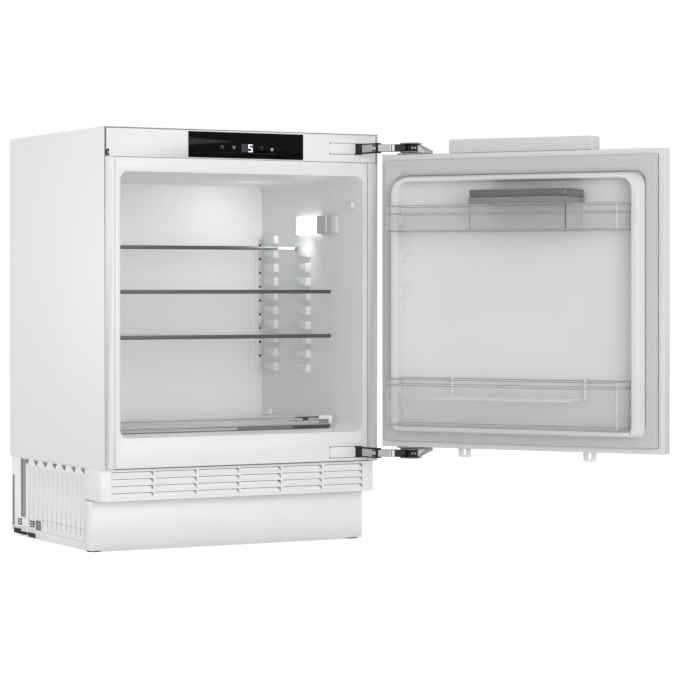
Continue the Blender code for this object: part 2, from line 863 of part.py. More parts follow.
def forked_link(word, level, axis):
    """First link: two cheeks joined by a web on their cabinet side."""
    ends = ((0, 0), (link_a_length, 0))
    low, high = cheek_spans(level)
    link = strap("link_a_" + word, ends, eye_radius, low, "bright_steel", axis)
    other = strap("link_a_cheek_" + word, ends, eye_radius, high, parent=axis)
    edge = -eye_radius
    web = block("link_a_web_" + word, (web_margin, link_a_length - web_margin),
                (edge, edge + web_thick), (level(cheek_low), level(cheek_high + cheek_thick)),
                parent=axis)
    fuse(link, other, web)
    for number, place in enumerate(ends):
        cut(link, hinge_bore(f"link_a_bore_{word}_{number}", place, level, axis))


def solid_link(word, level, axis):
    """Second link: a bar that folds between the cheeks of the first."""
    ends = ((0, 0), (link_b_length, 0))
    span = sorted((level(core_low), level(core_high)))
    link = strap("link_b_" + word, ends, eye_radius - gap, span, "bright_steel", axis)
    for number, place in enumerate(ends):
        cut(link, hinge_bore(f"link_b_bore_{word}_{number}", place, level, axis))


def door_bracket(word, level, axis):
    """Bracket on the door's edge: plate, upright wall, two cheeks and a gusset."""
    far = door_x(plate_end)
    plate = block("door_bracket_" + word, (door_x(plate_start), far),
                  (door_y(0.0), door_y(plate_depth)), (level(gap), level(plate_thick)),
                  "bright_steel", axis, axis=2, radius=web_thick)
    wall = block("bracket_wall_" + word, (door_x(plate_start), far),
                 (door_y(wall_inner), door_y(wall_inner + wall_thick)),
                 (level(gap * 2), level(cheek_high + cheek_thick)), parent=axis)
    slope = tapered_gusset("bracket_slope_" + word, level, axis)
    parts = [wall]
    for number, span in enumerate(cheek_spans(level)):
        eye = strap(f"bracket_cheek_{word}_{number}", ((0, 0), (door_x(door_cheek_end), 0)),
                    eye_radius, span, parent=axis)
        shelf_plate = block(f"bracket_shelf_{word}_{number}", (0, door_x(door_cheek_end)),
                            (0, door_y(wall_inner + gap)), span, parent=axis)
        parts += [eye, shelf_plate]
    fuse(plate, *parts)
    cut(plate, slope, hinge_bore("bracket_bore_" + word, (0, 0), level, axis))
    plate_run = plate_end - plate_start
    places = [(door_x(plate_start + share * plate_run), door_y(plate_depth / 3))
              for share in plate_screw_share]
    span = sorted((level(plate_thick - gap), level(plate_thick + screw_head)))
    fuse(plate, cylinders("plate_screws_" + word, screw_radius, [span], places, parent=axis,
                          sides=10))


def tapered_gusset(name, level, axis):
    """Cuts the upright wall to a slope towards the far end of the plate."""
    start, end = door_x(door_cheek_end + eye_radius), door_x(plate_end + overrun)
    inner, outer = door_y(wall_inner - overrun), door_y(wall_inner + wall_thick + overrun)
    top = cheek_high + cheek_thick + overrun
    low = plate_thick + overrun
    bm = bmesh.new()
    verts = bmesh.ops.create_cube(bm, size=1)["verts"]
    for vert in verts:
        at_end = vert.co.x < 0
        foot = low if at_end else cheek_high
        height = foot if vert.co.z < 0 else top
        vert.co = (end if at_end else start, inner if vert.co.y < 0 else outer, level(height))
    return add_object(name, bm, None, axis)


def hinge_pins(word, level, axes):
    """The three pins of one hinge, each with the piece that carries it."""
    low, high = pin_span(level)
    places = (("cabinet_pin_", hinge_points()[0], None), ("link_pin_", (link_a_length, 0), axes[0]),
              ("door_pin_", (0, 0), axes[2]))
    for name, place, axis in places:
        cylinder(name + word, pin_radius, low, high, place, "bright_steel", axis, 16)


def door_slab(name, inset, inner, outer, surface=None, radius=0):
    """Box over the whole door, inset from its edges, between two depths."""
    return block(name, (door_x(inset), door_x(door_width - inset)), (door_y(inner), door_y(outer)),
                 (door_bottom + inset, door_top - inset), surface, DOOR, axis=1, radius=radius)


def ring_form(name, side, levels, draft, grow, near, far, radii):
    """Tapered form on the door's inner side. Depths count towards the cabinet."""
    ends = []
    for depth in (near, far):
        inset = draft * depth / dike_tall - grow
        x = (door_x(door_width - side - inset), door_x(side + inset))
        z = (door_bottom + levels[0] + inset, door_top - levels[1] - inset)
        ends.append(((min(x), max(x)), door_y(-depth), z))
    grown = [radius + grow for radius in radii]
    return tapered(name, ends[0], ends[1], None, DOOR, grown, 5)


def door_shell():
    """Steel pan of the door, its border folded over the inner side."""
    pan = door_slab("door_outer_panel", 0, 0, door_thick, "white_steel")
    hollow = door_slab("pan_hollow", sheet, sheet, door_thick - sheet)
    mouth = door_slab("pan_mouth", border, -overrun, sheet + overrun)
    cut(pan, hollow, mouth)


def door_insulation():
    """Foam in the pan and in the raised ring."""
    foam = door_slab("door_insulation", sheet + gap, sheet + gap, door_thick - sheet - gap, "foam")
    wall = flange_thick + gap
    ring = ring_form("foam_ring", dike_side, dike_ends, dike_draft, -wall, -2 * overrun,
                     dike_tall - wall, dike_radii)
    hole = ring_form("foam_ring_hole", ring_side, ring_ends, ring_draft, wall, -sheet - gap,
                     dike_tall + overrun, ring_radii)
    fuse(foam, ring)
    cut(foam, hole)


def rack_lugs():
    """Lugs inside the raised ring that carry the racks."""
    boxes = []
    levels = [upper_rack_top - hook_drop, lower_rack_top - hook_drop]
    levels += list(spare_lug_levels)
    for top in levels:
        for side in (0, 1):
            foot = ring_side + ring_draft / 2 - flange_thick / 2
            tip = rack_start - door_lug_play
            along = (foot, tip) if side == 0 else (door_width - foot, door_width - tip)
            boxes.append(((door_x(along[0]), door_x(along[1])),
                          (door_y(-hook_start), door_y(-hook_start - hook_depth)),
                          (top - door_lug_tall, top)))
    return blocks("rack_lugs", boxes, parent=DOOR)


def door_inner_liner():
    """Moulded inner panel with its raised ring, open to the foam behind."""
    liner = door_slab("door_inner_liner", border + gap, -flange_thick, sheet - 2 * gap,
                      "white_plastic")
    dike = ring_form("dike", dike_side, dike_ends, dike_draft, 0, flange_thick / 2, dike_tall,
                     dike_radii)
    recess = ring_form("dike_recess", ring_side, ring_ends, ring_draft, 0, flange_thick,
                       dike_tall + overrun, ring_radii)
    groove = ring_form("dike_groove", dike_side, dike_ends, dike_draft, -flange_thick, -overrun,
                       dike_tall - flange_thick, dike_radii)
    island = ring_form("dike_island", ring_side, ring_ends, ring_draft, flange_thick,
                       -2 * overrun, dike_tall, ring_radii)
    cut(groove, island)
    fuse(liner, dike)
    cut(liner, recess, groove)
    fuse(liner, rack_lugs())


def gasket_ring(name, outer, inner_side, levels, near, far, surface=None):
    """Frame-shaped strip round the raised ring."""
    ring = door_slab(name, outer, -near, -far, surface, radius=border / 2)
    hole = block(name + "_hole", (door_x(inner_side), door_x(door_width - inner_side)),
                 (door_y(-near + overrun), door_y(-far - overrun)),
                 (door_bottom + levels[0], door_top - levels[1]), None, DOOR,
                 axis=1, radius=border)
    return cut(ring, hole)


def door_gasket():
    """Magnetic seal: a wide pad on a narrower foot."""
    near = flange_thick + gap
    far = near + seal_thick
    side = dike_side - seal_inner_gap
    levels = (dike_ends[0] - seal_inner_gap, seal_top_end)
    pad = gasket_ring("door_gasket", border + seal_inner_gap, side, levels, near + seal_foot, far,
                      "grey_seal")
    narrow = tuple(level - seal_foot_inset for level in levels)
    foot = gasket_ring("gasket_foot", border + seal_foot_inset, side - seal_foot_inset,
                       narrow, near, near + seal_foot + gap)
    fuse(pad, foot)


def rack_tub(name, word, low, rim, high, axis):
    """Clear trough with a thicker rim and a hook at each end."""
    z0 = axis.location.z
    x = (door_x(rack_start) - axis.location.x, door_x(door_width - rack_start) - axis.location.x)
    inner, outer = door_y(-rack_inner), door_y(-rack_outer)
    middle = axis.location.y
    inner, outer = inner - middle, outer - middle
    step = rim_step
    rack = block(name, x, (inner, outer), (rim - z0, high - z0), "clear_plastic", axis,
                 axis=2, radius=rack_radius)
    tub = block(name + "_tub", (x[0] - step, x[1] + step), (inner + step, outer - step),
                (low - z0, rim - z0 + gap), None, axis, axis=2, radius=rack_radius - step)
    wall = rack_wall + step
    room = block(name + "_room", (x[0] - wall, x[1] + wall), (inner + wall, outer - wall),
                 (low + rack_wall - z0, high + overrun - z0), None, axis, axis=2,
                 radius=rack_radius - wall)
    fuse(rack, tub)
    cut(rack, room)
    top = high - hook_drop + gap - z0
    hook_y = (door_y(-hook_start) - middle, door_y(-hook_start - hook_depth) - middle)
    reach = rack_start - ring_side - door_lug_play
    boxes = [((x[0] - step, x[0] + reach), hook_y, (top, top + hook_tall)),
             ((x[1] + step, x[1] - reach), hook_y, (top, top + hook_tall))]
    fuse(rack, blocks(name + "_hooks_" + word, boxes, parent=axis))


def door_axis_empty(name, along, out, level):
    """Empty for a piece that moves on the door."""
    return axis_empty(name, (door_x(along), door_y(out), level), parent=DOOR)


def racks():
    """Upper and lower rack, each free to be lifted off."""
    middle = door_width / 2
    depth = -(rack_inner + rack_outer) / 2
    upper = door_axis_empty("upper_rack_axis", middle, depth, upper_rack_bottom)
    rack_tub("upper_rack", "upper", upper_rack_bottom, upper_rack_rim, upper_rack_top, upper)
    lower = door_axis_empty("lower_rack_axis", middle, depth, lower_rack_bottom)
    rack_tub("lower_rack", "lower", lower_rack_bottom, lower_rack_rim, lower_rack_top, lower)
    return upper, lower


def storage_box(rack):
    """Clear box in the upper rack, and its grey lid on a hinge line at the back."""
    level = upper_rack_bottom + rack_wall + gap
    axis = axis_empty("storage_box_axis",
                      (door_x(box_start + box_length / 2) - rack.location.x,
                       door_y(-(box_inner + box_outer) / 2) - rack.location.y,
                       level - rack.location.z), parent=rack)
    half, deep, tall = box_length / 2, (box_outer - box_inner) / 2, box_top - level
    box = block("storage_box", (-half, half), (-deep, deep), (0, tall), "clear_plastic", axis,
                axis=2, radius=box_radius)
    inner_x, inner_y = half - box_wall, deep - box_wall
    room = block("storage_box_room", (-inner_x, inner_x), (-inner_y, inner_y),
                 (box_wall, tall + overrun), None, axis, axis=2, radius=box_radius - box_wall)
    cut(box, room)
    hinge = axis_empty("box_lid_axis", (0, deep + lid_over, tall + gap), parent=axis)
    half += lid_over
    depth = 2 * (deep + lid_over)
    lid = block("box_lid", (-half, half), (-depth, 0), (0, lid_tall), "grey_lid", hinge,
                axis=2, radius=box_radius + lid_over)
    inner_x = half - lid_wall
    hollow = block("box_lid_hollow", (-inner_x, inner_x), (lid_wall - depth, -lid_wall),
                   (-overrun, lid_tall - lid_wall), None, hinge, axis=2, radius=box_radius)
    cut(lid, hollow)


def bottle_comb(rack):
    """Wire comb that hangs over the back rim of the lower rack."""
    start = Vector((door_x(comb_start), door_y(-comb_front), comb_level)) - rack.location
    rear = door_y(-comb_back) - rack.location.y
    length = comb_pitch * (comb_count - 1)
    rim = lower_rack_top + hanger_over - rack.location.z
    behind = door_y(-rack_inner + hanger_behind) - rack.location.y
    axis = axis_empty("bottle_comb_axis", start, parent=rack)
    span, lift = rear - start.y, rim - start.z
    comb = wire_mesh("bottle_comb", [(0, 0, 0), (-length, 0, 0)], "white_plastic", axis)
    wires = [wire_mesh("comb_back", [(0, span, 0), (-length, span, 0)], None, axis)]
    for number in range(comb_count):
        x = -number * comb_pitch
        route = [(x, 0, 0), (x, span, 0)]
        if number in (0, comb_count - 1):
            route += [(x, span, lift), (x, behind - start.y, lift),
                      (x, behind - start.y, lift - hanger_drop)]
        wires.append(wire_mesh(f"comb_tooth_{number}", route, None, axis))
    fuse(comb, *wires)


def wire_mesh(name, route, surface, parent, radius=comb_wire, resolution=1):
    """Round wire along points, as a closed mesh that can be joined."""
    curve = bpy.data.curves.new(name + "_line", "CURVE")
    curve.dimensions = "3D"
    curve.bevel_depth = radius
    curve.bevel_resolution = resolution
    curve.use_fill_caps = True
    spline = curve.splines.new("POLY")
    spline.points.add(len(route) - 1)
    for point, place in zip(spline.points, route):
        point.co = (*place, 1)
    guide = bpy.data.objects.new(name + "_guide", curve)
    TOOLS.objects.link(guide)
    bpy.context.view_layer.update()
    mesh = bpy.data.meshes.new_from_object(guide.evaluated_get(
        bpy.context.evaluated_depsgraph_get()))
    bpy.data.objects.remove(guide)
    bm = bmesh.new()
    bm.from_mesh(mesh)
    bpy.data.meshes.remove(mesh)
    bmesh.ops.remove_doubles(bm, verts=bm.verts, dist=radius / 100)
    return add_object(name, bm, surface, parent)


def door_fixings():
    """Cover on the door's top edge and two slotted tabs below, for a furniture door."""
    x = (door_x(cover_start), door_x(cover_start + cover_length))
    low = door_top + gap
    cover = block("door_fixing_cover", x, (door_y(0.0), door_y(cover_deep)),
                  (low, door_top + cover_tall), "white_plastic", DOOR, axis=1,
                  radius=cover_radius / 2)
    wall = cover_wall
    hollow = block("fixing_cover_hollow", (x[0] - wall, x[1] + wall),
                   (door_y(wall), door_y(cover_deep - wall)),
                   (low - overrun, door_top + cover_tall - wall), parent=DOOR)
    cut(cover, hollow)
    for number, word in enumerate(("inner", "outer")):
        start = tab_start + number * tab_spacing
        middle = door_x(start + tab_width / 2)
        tab = block("fixing_tab_" + word, (door_x(start), door_x(start + tab_width)),
                    (door_y(door_thick + gap), door_y(door_thick + gap + tab_thick)),
                    (door_bottom - tab_drop, door_bottom + tab_rise), "white_steel", DOOR,
                    axis=1, radius=tab_radius)
        low = door_bottom - tab_drop + tab_slot_low
        slot = block("tab_slot_" + word,
                     (middle - tab_slot_width / 2, middle + tab_slot_width / 2),
                     (door_y(door_thick - overrun), door_y(door_thick + tab_thick + overrun)),
                     (low, low + tab_slot_length), parent=DOOR)
        cut(tab, slot)


def side_pair(limits):
    """The same span on the left and on the right, from the side faces."""
    return (left + limits[0], left + limits[1]), (right - limits[0], right - limits[1])


def base_frame():
    """Tray with ribbed side walls that carries the machinery and the cabinet."""
    outer = base_side_inset
    top = shell_bottom - gap
    rear = back - base_back_inset
    base = block("base_frame", (left + outer, right - outer), (front + base_front, rear),
                 (base_bottom, top), "white_plastic")
    hollow = block("base_hollow", (left + outer + base_wall, right - outer - base_wall),
                   (front + base_front - overrun, rear + overrun),
                   (base_bottom + base_wall, top + overrun))
    floor = block("base_floor", (left + floor_side_inset, right - floor_side_inset),
                  (front + floor_front, rear), (base_bottom, base_bottom + base_wall))
    cut(base, hollow)
    fuse(base, floor, rear_rail(rear), coil_rests(), foot_bosses(), compressor_posts())
    cut(base, side_details(), side_notches(), side_cuts(rear), foot_bores())


def rear_rail(rear):
    """Low wall across the back of the tray."""
    inset = base_side_inset + base_wall / 2
    return block("rear_rail", (left + inset, right - inset), (rear - base_wall, rear),
                 (base_bottom, base_bottom + rear_rail_tall))


def coil_rests():
    """Two bars on the tray's floor under the condenser."""
    end = coil_start + (coil_runs - 1) * coil_pitch
    boxes = []
    for x in (coil_left + coil_pitch, coil_right - coil_pitch):
        boxes.append(((left + x, left + x + base_wall),
                      (front + coil_start - coil_pitch, front + end + coil_pitch),
                      (base_bottom + gap, coil_rest_level)))
    return blocks("coil_rests", boxes)


def foot_places():
    """Plan places of the two front feet."""
    return [(left + foot_side, front + foot_back), (right - foot_side, front + foot_back)]


def foot_bosses():
    return cylinders("foot_bosses", boss_radius, [(base_bottom + gap, boss_top)], foot_places())


def compressor_posts():
    """Four round posts under the compressor's feet."""
    y = back - compressor_back
    places = [(compressor_x + sx * (foot_plate_reach - post_radius), y + sy * 1.5 * foot_plate_wide)
              for sx in (-1, 1) for sy in (-1, 1)]
    return cylinders("compressor_posts", post_radius,
                     [(base_bottom + gap, compressor_bottom - gap)], places)


def foot_bores():
    return cylinders("foot_bores", stem_radius + bore_play,
                     [(base_bottom - overrun, boss_top + overrun)], foot_places())


def side_details():
    """Shallow flutes and the air slots, cut in both side walls."""
    boxes = []
    low, flute_top = rib_low, notch_top - notch_tall - rib_depth
    for number in range(rib_count - 1):
        start = front + rib_first + number * rib_pitch + rib_pitch / 4
        for offset in (0, rib_pitch / 2):
            y = (start + offset, start + offset + rib_pitch / 4)
            for x in side_pair((-overrun, base_side_inset + rib_depth)):
                boxes.append((x, y, (low, flute_top)))
    for x in side_pair((-overrun, base_side_inset + base_wall + overrun)):
        boxes.append((x, (front + slot_start, front + slot_end), (slot_bottom, slot_top)))
    return blocks("side_details", boxes)


def side_notches():
    """Pointed notches along the top of both side walls."""
    bm = bmesh.new()
    half = notch_wide / 2
    for number in range(rib_count):
        y = front + rib_first + number * rib_pitch
        for x in side_pair((-overrun, base_side_inset + base_wall + overrun)):
            for vert in bmesh.ops.create_cube(bm, size=1)["verts"]:
                high = vert.co.z > 0
                reach = half if high else gap
                side = 1 if vert.co.y > 0 else -1
                vert.co = (x[vert.co.x > 0], y + side * reach,
                           notch_top if high else notch_top - notch_tall)
    return add_object("side_notches", bm, None)


def side_cuts(rear):
    """Room under the rear of both side walls and for the rollers in the floor."""
    boxes = []
    for x in side_pair((-overrun, carrier_room())):
        boxes.append((x, (front + base_rear_cut - gap, rear + overrun),
                      (base_bottom - overrun, base_rear_bottom)))
    return blocks("side_cuts", boxes)


def carrier_room():
    """How far in from the side the roller carrier reaches, with its clearance."""
    return roller_side + roller_width / 2 + carrier_wall + 2 * gap


def roller_span(half):
    """Width limits of a roller detail on the left and on the right side."""
    return {word: (edge - side * (roller_side - half), edge - side * (roller_side + half))
            for word, edge, side in (("left", left, -1), ("right", right, 1))}


def roller_carriers():
    """Black bars under the rear corners, each with a fork for its roller."""
    half = roller_width / 2 + carrier_wall + gap
    reach = roller_radius + 2 * gap
    middle = front + roller_place
    rooms = roller_span(roller_width / 2 + gap)
    for word, x in roller_span(half).items():
        carrier = block("roller_carrier_" + word, x,
                        (front + base_rear_cut, front + carrier_end),
                        (carrier_low, base_rear_bottom - gap), "black_plastic")
        fork = block("roller_fork_" + word, x, (front + carrier_rise_start, front + carrier_end),
                     (carrier_low + gap, carrier_top))
        room = block("roller_room_" + word, rooms[word], (middle - reach, middle + reach),
                     (carrier_low - overrun, carrier_top + overrun))
        bore = cylinder("axle_bore_" + word, axle_radius + bore_play, min(x) - overrun,
                        max(x) + overrun, (middle, roller_radius), axis=0, sides=16)
        fuse(carrier, fork)
        cut(carrier, room, bore)


def rollers():
    """Two rear rollers, each in one piece with its axle."""
    half = roller_width / 2
    reach = half + gap + carrier_wall
    for word, span in roller_span(0).items():
        axis = axis_empty(f"rear_roller_{word}_axis",
                          (span[0], front + roller_place, roller_radius))
        wheel = cylinder(f"rear_roller_{word}", roller_radius, -half, half, (0, 0),
                         "black_plastic", axis, 20, 0)
        fuse(wheel, cylinder(f"roller_axle_{word}", axle_radius, -reach, reach, (0, 0),
                             None, axis, 16, 0))


def front_feet():
    """Two levelling feet, each a disc on a threaded stem."""
    for word, place in zip(("left", "right"), foot_places()):
        axis = axis_empty(f"front_foot_{word}_axis", (*place, 0))
        foot = cylinder(f"front_foot_{word}", foot_radius, 0, base_bottom - gap, (0, 0),
                        "black_plastic", axis, 24)
        stem = cylinder(f"foot_stem_{word}", stem_radius, base_bottom - 2 * gap, stem_top,
                        (0, 0), None, axis, 16)
        fuse(foot, stem)


def vent_grille():
    """Upper part of the base front: louvred face, side returns and lower lip."""
    top = shell_bottom - gap
    deep = base_front - gap
    grille = block("vent_grille", (left, right), (front + grille_front, front + deep),
                   (grille_bottom, top), "white_plastic")
    hollow = block("grille_hollow", (left + grille_wall, right - grille_wall),
                   (front + grille_front + grille_wall, front + deep + overrun),
                   (grille_bottom + grille_wall, top + overrun))
    lip = block("grille_lip", (left + grille_wall, right - grille_wall),
                (front + floor_front + plinth_wall, front + deep + overrun),
                (grille_bottom - overrun, grille_bottom + grille_wall + overrun))
    thick = block("louvre_block", (left + louvre_left_margin - grille_wall,
                                   right - louvre_right_margin + grille_wall),
                  (front + grille_front + gap, front + grille_front + louvre_block),
                  (louvre_top - louvre_rows * louvre_row_pitch, louvre_top + grille_wall))
    cut(grille, hollow, lip)
    fuse(grille, thick)
    cut(grille, louvre_wedges(), louvre_slots())


def louvre_places():
    """Left edge and top of each louvre."""
    return [(left + louvre_left_margin + column * louvre_pitch,
             louvre_top - row * louvre_row_pitch)
            for column in range(louvre_columns) for row in range(louvre_rows)]


def louvre_wedges():
    """Recesses that get deeper towards their upper edge."""
    bm = bmesh.new()
    face = front + grille_front
    for x, top in louvre_places():
        verts = bmesh.ops.create_cube(bm, size=1)["verts"]
        for vert in verts:
            high = vert.co.z > 0
            deep = louvre_deep if high else gap
            vert.co = (x + louvre_width * (vert.co.x > 0),
                       face - overrun if vert.co.y < 0 else face + deep,
                       top if high else top - louvre_tall)
    return add_object("louvre_wedges", bm, None)


def louvre_slots():
    """Slots at the head of each recess that let the air through."""
    face = front + grille_front
    boxes = [((x + gap, x + louvre_width - gap),
              (face + louvre_deep / 2, face + louvre_block + overrun),
              (top - louvre_slot, top - gap))
             for x, top in louvre_places()]
    return blocks("louvre_slots", boxes)


def plinth_panel():
    """Removable plinth, with returns along the sides."""
    end = plinth_front + plinth_return
    plinth = block("plinth_panel", (left, right), (front + plinth_front, front + end),
                   (base_bottom, plinth_top), "white_plastic")
    hollow = block("plinth_hollow", (left + plinth_wall, right - plinth_wall),
                   (front + plinth_front + plinth_wall, front + end + overrun),
                   (base_bottom - overrun, plinth_top + overrun))
    cut(plinth, hollow)


def compressor():
    """Sealed compressor: two deep-drawn halves with a welded seam, on a foot plate."""
    x = compressor_x
    y = back - compressor_back
    half = compressor_height / 2
    middle = compressor_bottom + foot_plate + half
    profile = [(0.0, half)]
    steps = 6
    for number in range(1, steps):
        turn = math.pi / 2 * number / steps
        profile.append((compressor_radius * math.sin(turn) ** 0.8, half * math.cos(turn) ** 0.8))
    profile.append((compressor_radius, compressor_seam))
    flange = compressor_radius + compressor_seam
    upper = profile + [(flange, compressor_seam)]
    outline = upper + [(r, -z) for r, z in reversed(upper)]
    body = turned("compressor", outline, (x, y, middle), "black_paint", compressor_stretch_share)
    reach = foot_plate_reach
    bars = []
    for side in (-1, 1):
        bars.append(((x - reach, x + reach),
                     (y + side * foot_plate_wide, y + side * 2 * foot_plate_wide),
                     (compressor_bottom, compressor_bottom + foot_plate)))
    bars.append(((x - foot_plate_wide, x + foot_plate_wide),
                 (y - 2 * foot_plate_wide + gap, y + 2 * foot_plate_wide - gap),
                 (compressor_bottom + gap, compressor_bottom + 4 * foot_plate)))
    fuse(body, blocks("compressor_feet", bars[:2]), blocks("compressor_saddle", bars[2:]))


def turned(name, outline, place, surface, stretch):
    """Solid turned round the vertical from an outline that runs from top to bottom."""
    mesh = bpy.data.meshes.new(name)
    bm = bmesh.new()
    verts = [bm.verts.new((r * stretch, 0, z)) for r, z in outline]
    for first, second in zip(verts, verts[1:]):
        bm.edges.new((first, second))
    bmesh.ops.spin(bm, geom=bm.verts[:] + bm.edges[:], cent=(0, 0, 0), axis=(0, 0, 1),
                   angle=2 * math.pi, steps=24, use_merge=True)
    bmesh.ops.remove_doubles(bm, verts=bm.verts, dist=gap / 3)
    bmesh.ops.scale(bm, vec=(1, 1 / stretch, 1), verts=bm.verts)
    bpy.data.meshes.remove(mesh)
    obj = add_object(name, bm, surface, None, place)
    smooth(obj)
    return obj


def drip_tray():
    """Tray over the compressor in which the defrost water dries up."""
    x = compressor_x
    y = back - compressor_back
    low = compressor_bottom + foot_plate + compressor_height + gap
    half_x, half_y = tray_length / 2, tray_width / 2
    tray = block("drip_tray", (x - half_x, x + half_x), (y - half_y, y + half_y),
                 (low, low + tray_tall), "black_plastic", axis=2, radius=box_radius)
    room = block("drip_tray_room", (x - half_x + tray_wall, x + half_x - tray_wall),
                 (y - half_y + tray_wall, y + half_y - tray_wall),
                 (low + tray_wall, low + tray_tall + overrun), axis=2,
                 radius=box_radius - tray_wall)
    cut(tray, room)


def condenser_coil():
    """Serpentine tube lying on its two rests."""
    level = coil_rest_level + coil_radius + gap
    x = (left + coil_left, left + coil_right)
    bend = coil_pitch / 2
    steps = 6
    route = []
    for run in range(coil_runs):
        y = front + coil_start + run * coil_pitch
        forward = run % 2 == 0
        near, far = (x[0], x[1]) if forward else (x[1], x[0])
        route.append((near, y, level))
        route.append((far, y, level))
        if run < coil_runs - 1:
            out = 1 if forward else -1
            for number in range(1, steps):
                turn = math.pi * number / steps
                route.append((far + out * bend * math.sin(turn),
                              y + bend - bend * math.cos(turn), level))
    wire_mesh("condenser_coil", route, "copper", None, coil_radius, 2)


def mains_inlet():
    """Inlet socket at the rear of the base."""
    rear = back - base_back_inset
    low = base_bottom + rear_rail_tall + gap
    inlet = block("mains_inlet", (inlet_x - inlet_width / 2, inlet_x + inlet_width / 2),
                  (rear - inlet_deep, rear), (low, low + inlet_tall), "black_plastic")
    wall = base_wall
    room = block("inlet_room", (inlet_x - inlet_width / 2 + wall, inlet_x + inlet_width / 2 - wall),
                 (rear - inlet_deep + wall, rear + overrun), (low + wall, low + inlet_tall - wall))
    cut(inlet, room)


def build_cabinet():
    outer_shell()
    back_panel()
    foam_insulation()
    evaporator_plate()
    inner_liner()
    control_fascia()
    display_glass()
    lamp()
    door_switch()


def build_base():
    base_frame()
    roller_carriers()
    rollers()
    front_feet()
    vent_grille()
    plinth_panel()
    compressor()
    drip_tray()
    condenser_coil()
    mains_inlet()


def build_shelves():
    shelf("shelf_upper", upper_lug, upper_shelf_front, upper_trim_inset + trim_side_gap)
    shelf("shelf_middle", middle_lug, lower_shelf_front, trim_side_gap)
    shelf("shelf_lower", lower_lug, lower_shelf_front, trim_side_gap)
    bottom_shelf()


def hinge_axes():
    """Empties on the three hinge pivots, turned for the open door."""
    start, middle, end = hinge_points()
    first = middle - start
    second = end - middle
    link_a = axis_empty("link_a_axis", (*start, 0), math.atan2(first.y, first.x))
    link_b = axis_empty("link_b_axis", (*middle, 0), math.atan2(second.y, second.x))
    door = axis_empty("door_axis", (*end, 0), math.radians(door_open_angle))
    return link_a, link_b, door


def build_hinges(axes):
    for word, level in (("upper", upper_level), ("lower", lower_level)):
        cabinet_hinge(word, level)
        forked_link(word, level, axes[0])
        solid_link(word, level, axes[1])
        door_bracket(word, level, axes[2])
        hinge_pins(word, level, axes)


def build_door():
    door_shell()
    door_insulation()
    door_inner_liner()
    door_gasket()
    upper, lower = racks()
    storage_box(upper)
    bottle_comb(lower)
    door_fixings()


clear_scene()
PARTS, TOOLS = make_collections()
AXES = hinge_axes()
DOOR = AXES[2]
build_cabinet()
build_base()
build_shelves()
build_hinges(AXES)
build_door()
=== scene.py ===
"""A built-in under-counter fridge with its door open, dressed as it looks in the kitchen showroom."""
import json
import math

import bmesh
import bpy
from mathutils import Matrix, Vector

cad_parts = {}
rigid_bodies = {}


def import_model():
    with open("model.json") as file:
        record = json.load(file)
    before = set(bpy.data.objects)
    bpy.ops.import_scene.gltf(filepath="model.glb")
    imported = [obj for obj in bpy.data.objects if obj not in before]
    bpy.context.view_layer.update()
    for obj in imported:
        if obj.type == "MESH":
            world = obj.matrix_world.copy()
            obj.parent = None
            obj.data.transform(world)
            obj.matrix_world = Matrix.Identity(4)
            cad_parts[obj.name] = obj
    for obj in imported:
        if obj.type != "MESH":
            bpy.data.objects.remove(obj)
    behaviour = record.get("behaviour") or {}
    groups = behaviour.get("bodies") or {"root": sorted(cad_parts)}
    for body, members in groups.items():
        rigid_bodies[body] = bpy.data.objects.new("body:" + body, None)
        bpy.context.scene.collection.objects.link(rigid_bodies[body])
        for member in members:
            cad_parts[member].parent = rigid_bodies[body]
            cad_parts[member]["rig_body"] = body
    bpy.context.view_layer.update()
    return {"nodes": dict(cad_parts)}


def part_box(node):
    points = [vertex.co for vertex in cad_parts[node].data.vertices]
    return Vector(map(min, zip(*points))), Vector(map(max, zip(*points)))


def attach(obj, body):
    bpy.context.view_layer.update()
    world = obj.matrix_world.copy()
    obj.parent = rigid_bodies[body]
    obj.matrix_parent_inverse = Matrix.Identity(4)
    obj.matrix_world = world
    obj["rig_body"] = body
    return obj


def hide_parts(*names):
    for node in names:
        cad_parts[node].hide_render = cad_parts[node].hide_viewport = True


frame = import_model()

# Places that the pieces share, in metres.
DOOR_CORNER = Vector((0.2751, -0.3110, 0.0))
DOOR_TURN = math.radians(-55.5)
DOOR = Matrix.Translation(DOOR_CORNER) @ Matrix.Rotation(DOOR_TURN, 4, "Z")
DOOR_WIDE, DOOR_LOW, DOOR_HIGH = 0.594, 0.196, 0.776
EDGE_ANGLE = math.radians(32)      # an edge that turns more than this is rounded, or stays sharp
CORNER_STEPS = 6                   # segments in a rounded corner of a loop, and in a wire's bend


# Materials

def linear(shade):
    """An sRGB hex colour as the linear colour that a shader reads."""
    parts = [int(shade[i:i + 2], 16) / 255 for i in (1, 3, 5)]
    return (*(p / 12.92 if p <= 0.04045 else ((p + 0.055) / 1.055) ** 2.4 for p in parts), 1.0)


def add_node(tree, kind, settings=None, links=None):
    """Adds a node.

    A setting is one of its own, or the value of an input by name or number, and a link feeds an input.
    """
    node = tree.nodes.new(kind)
    for key, value in (settings or {}).items():
        if isinstance(key, str) and key not in node.inputs:
            setattr(node, key, value)
        else:
            node.inputs[key].default_value = value
    for key, source in (links or {}).items():
        tree.links.new(source, node.inputs[key])
    return node


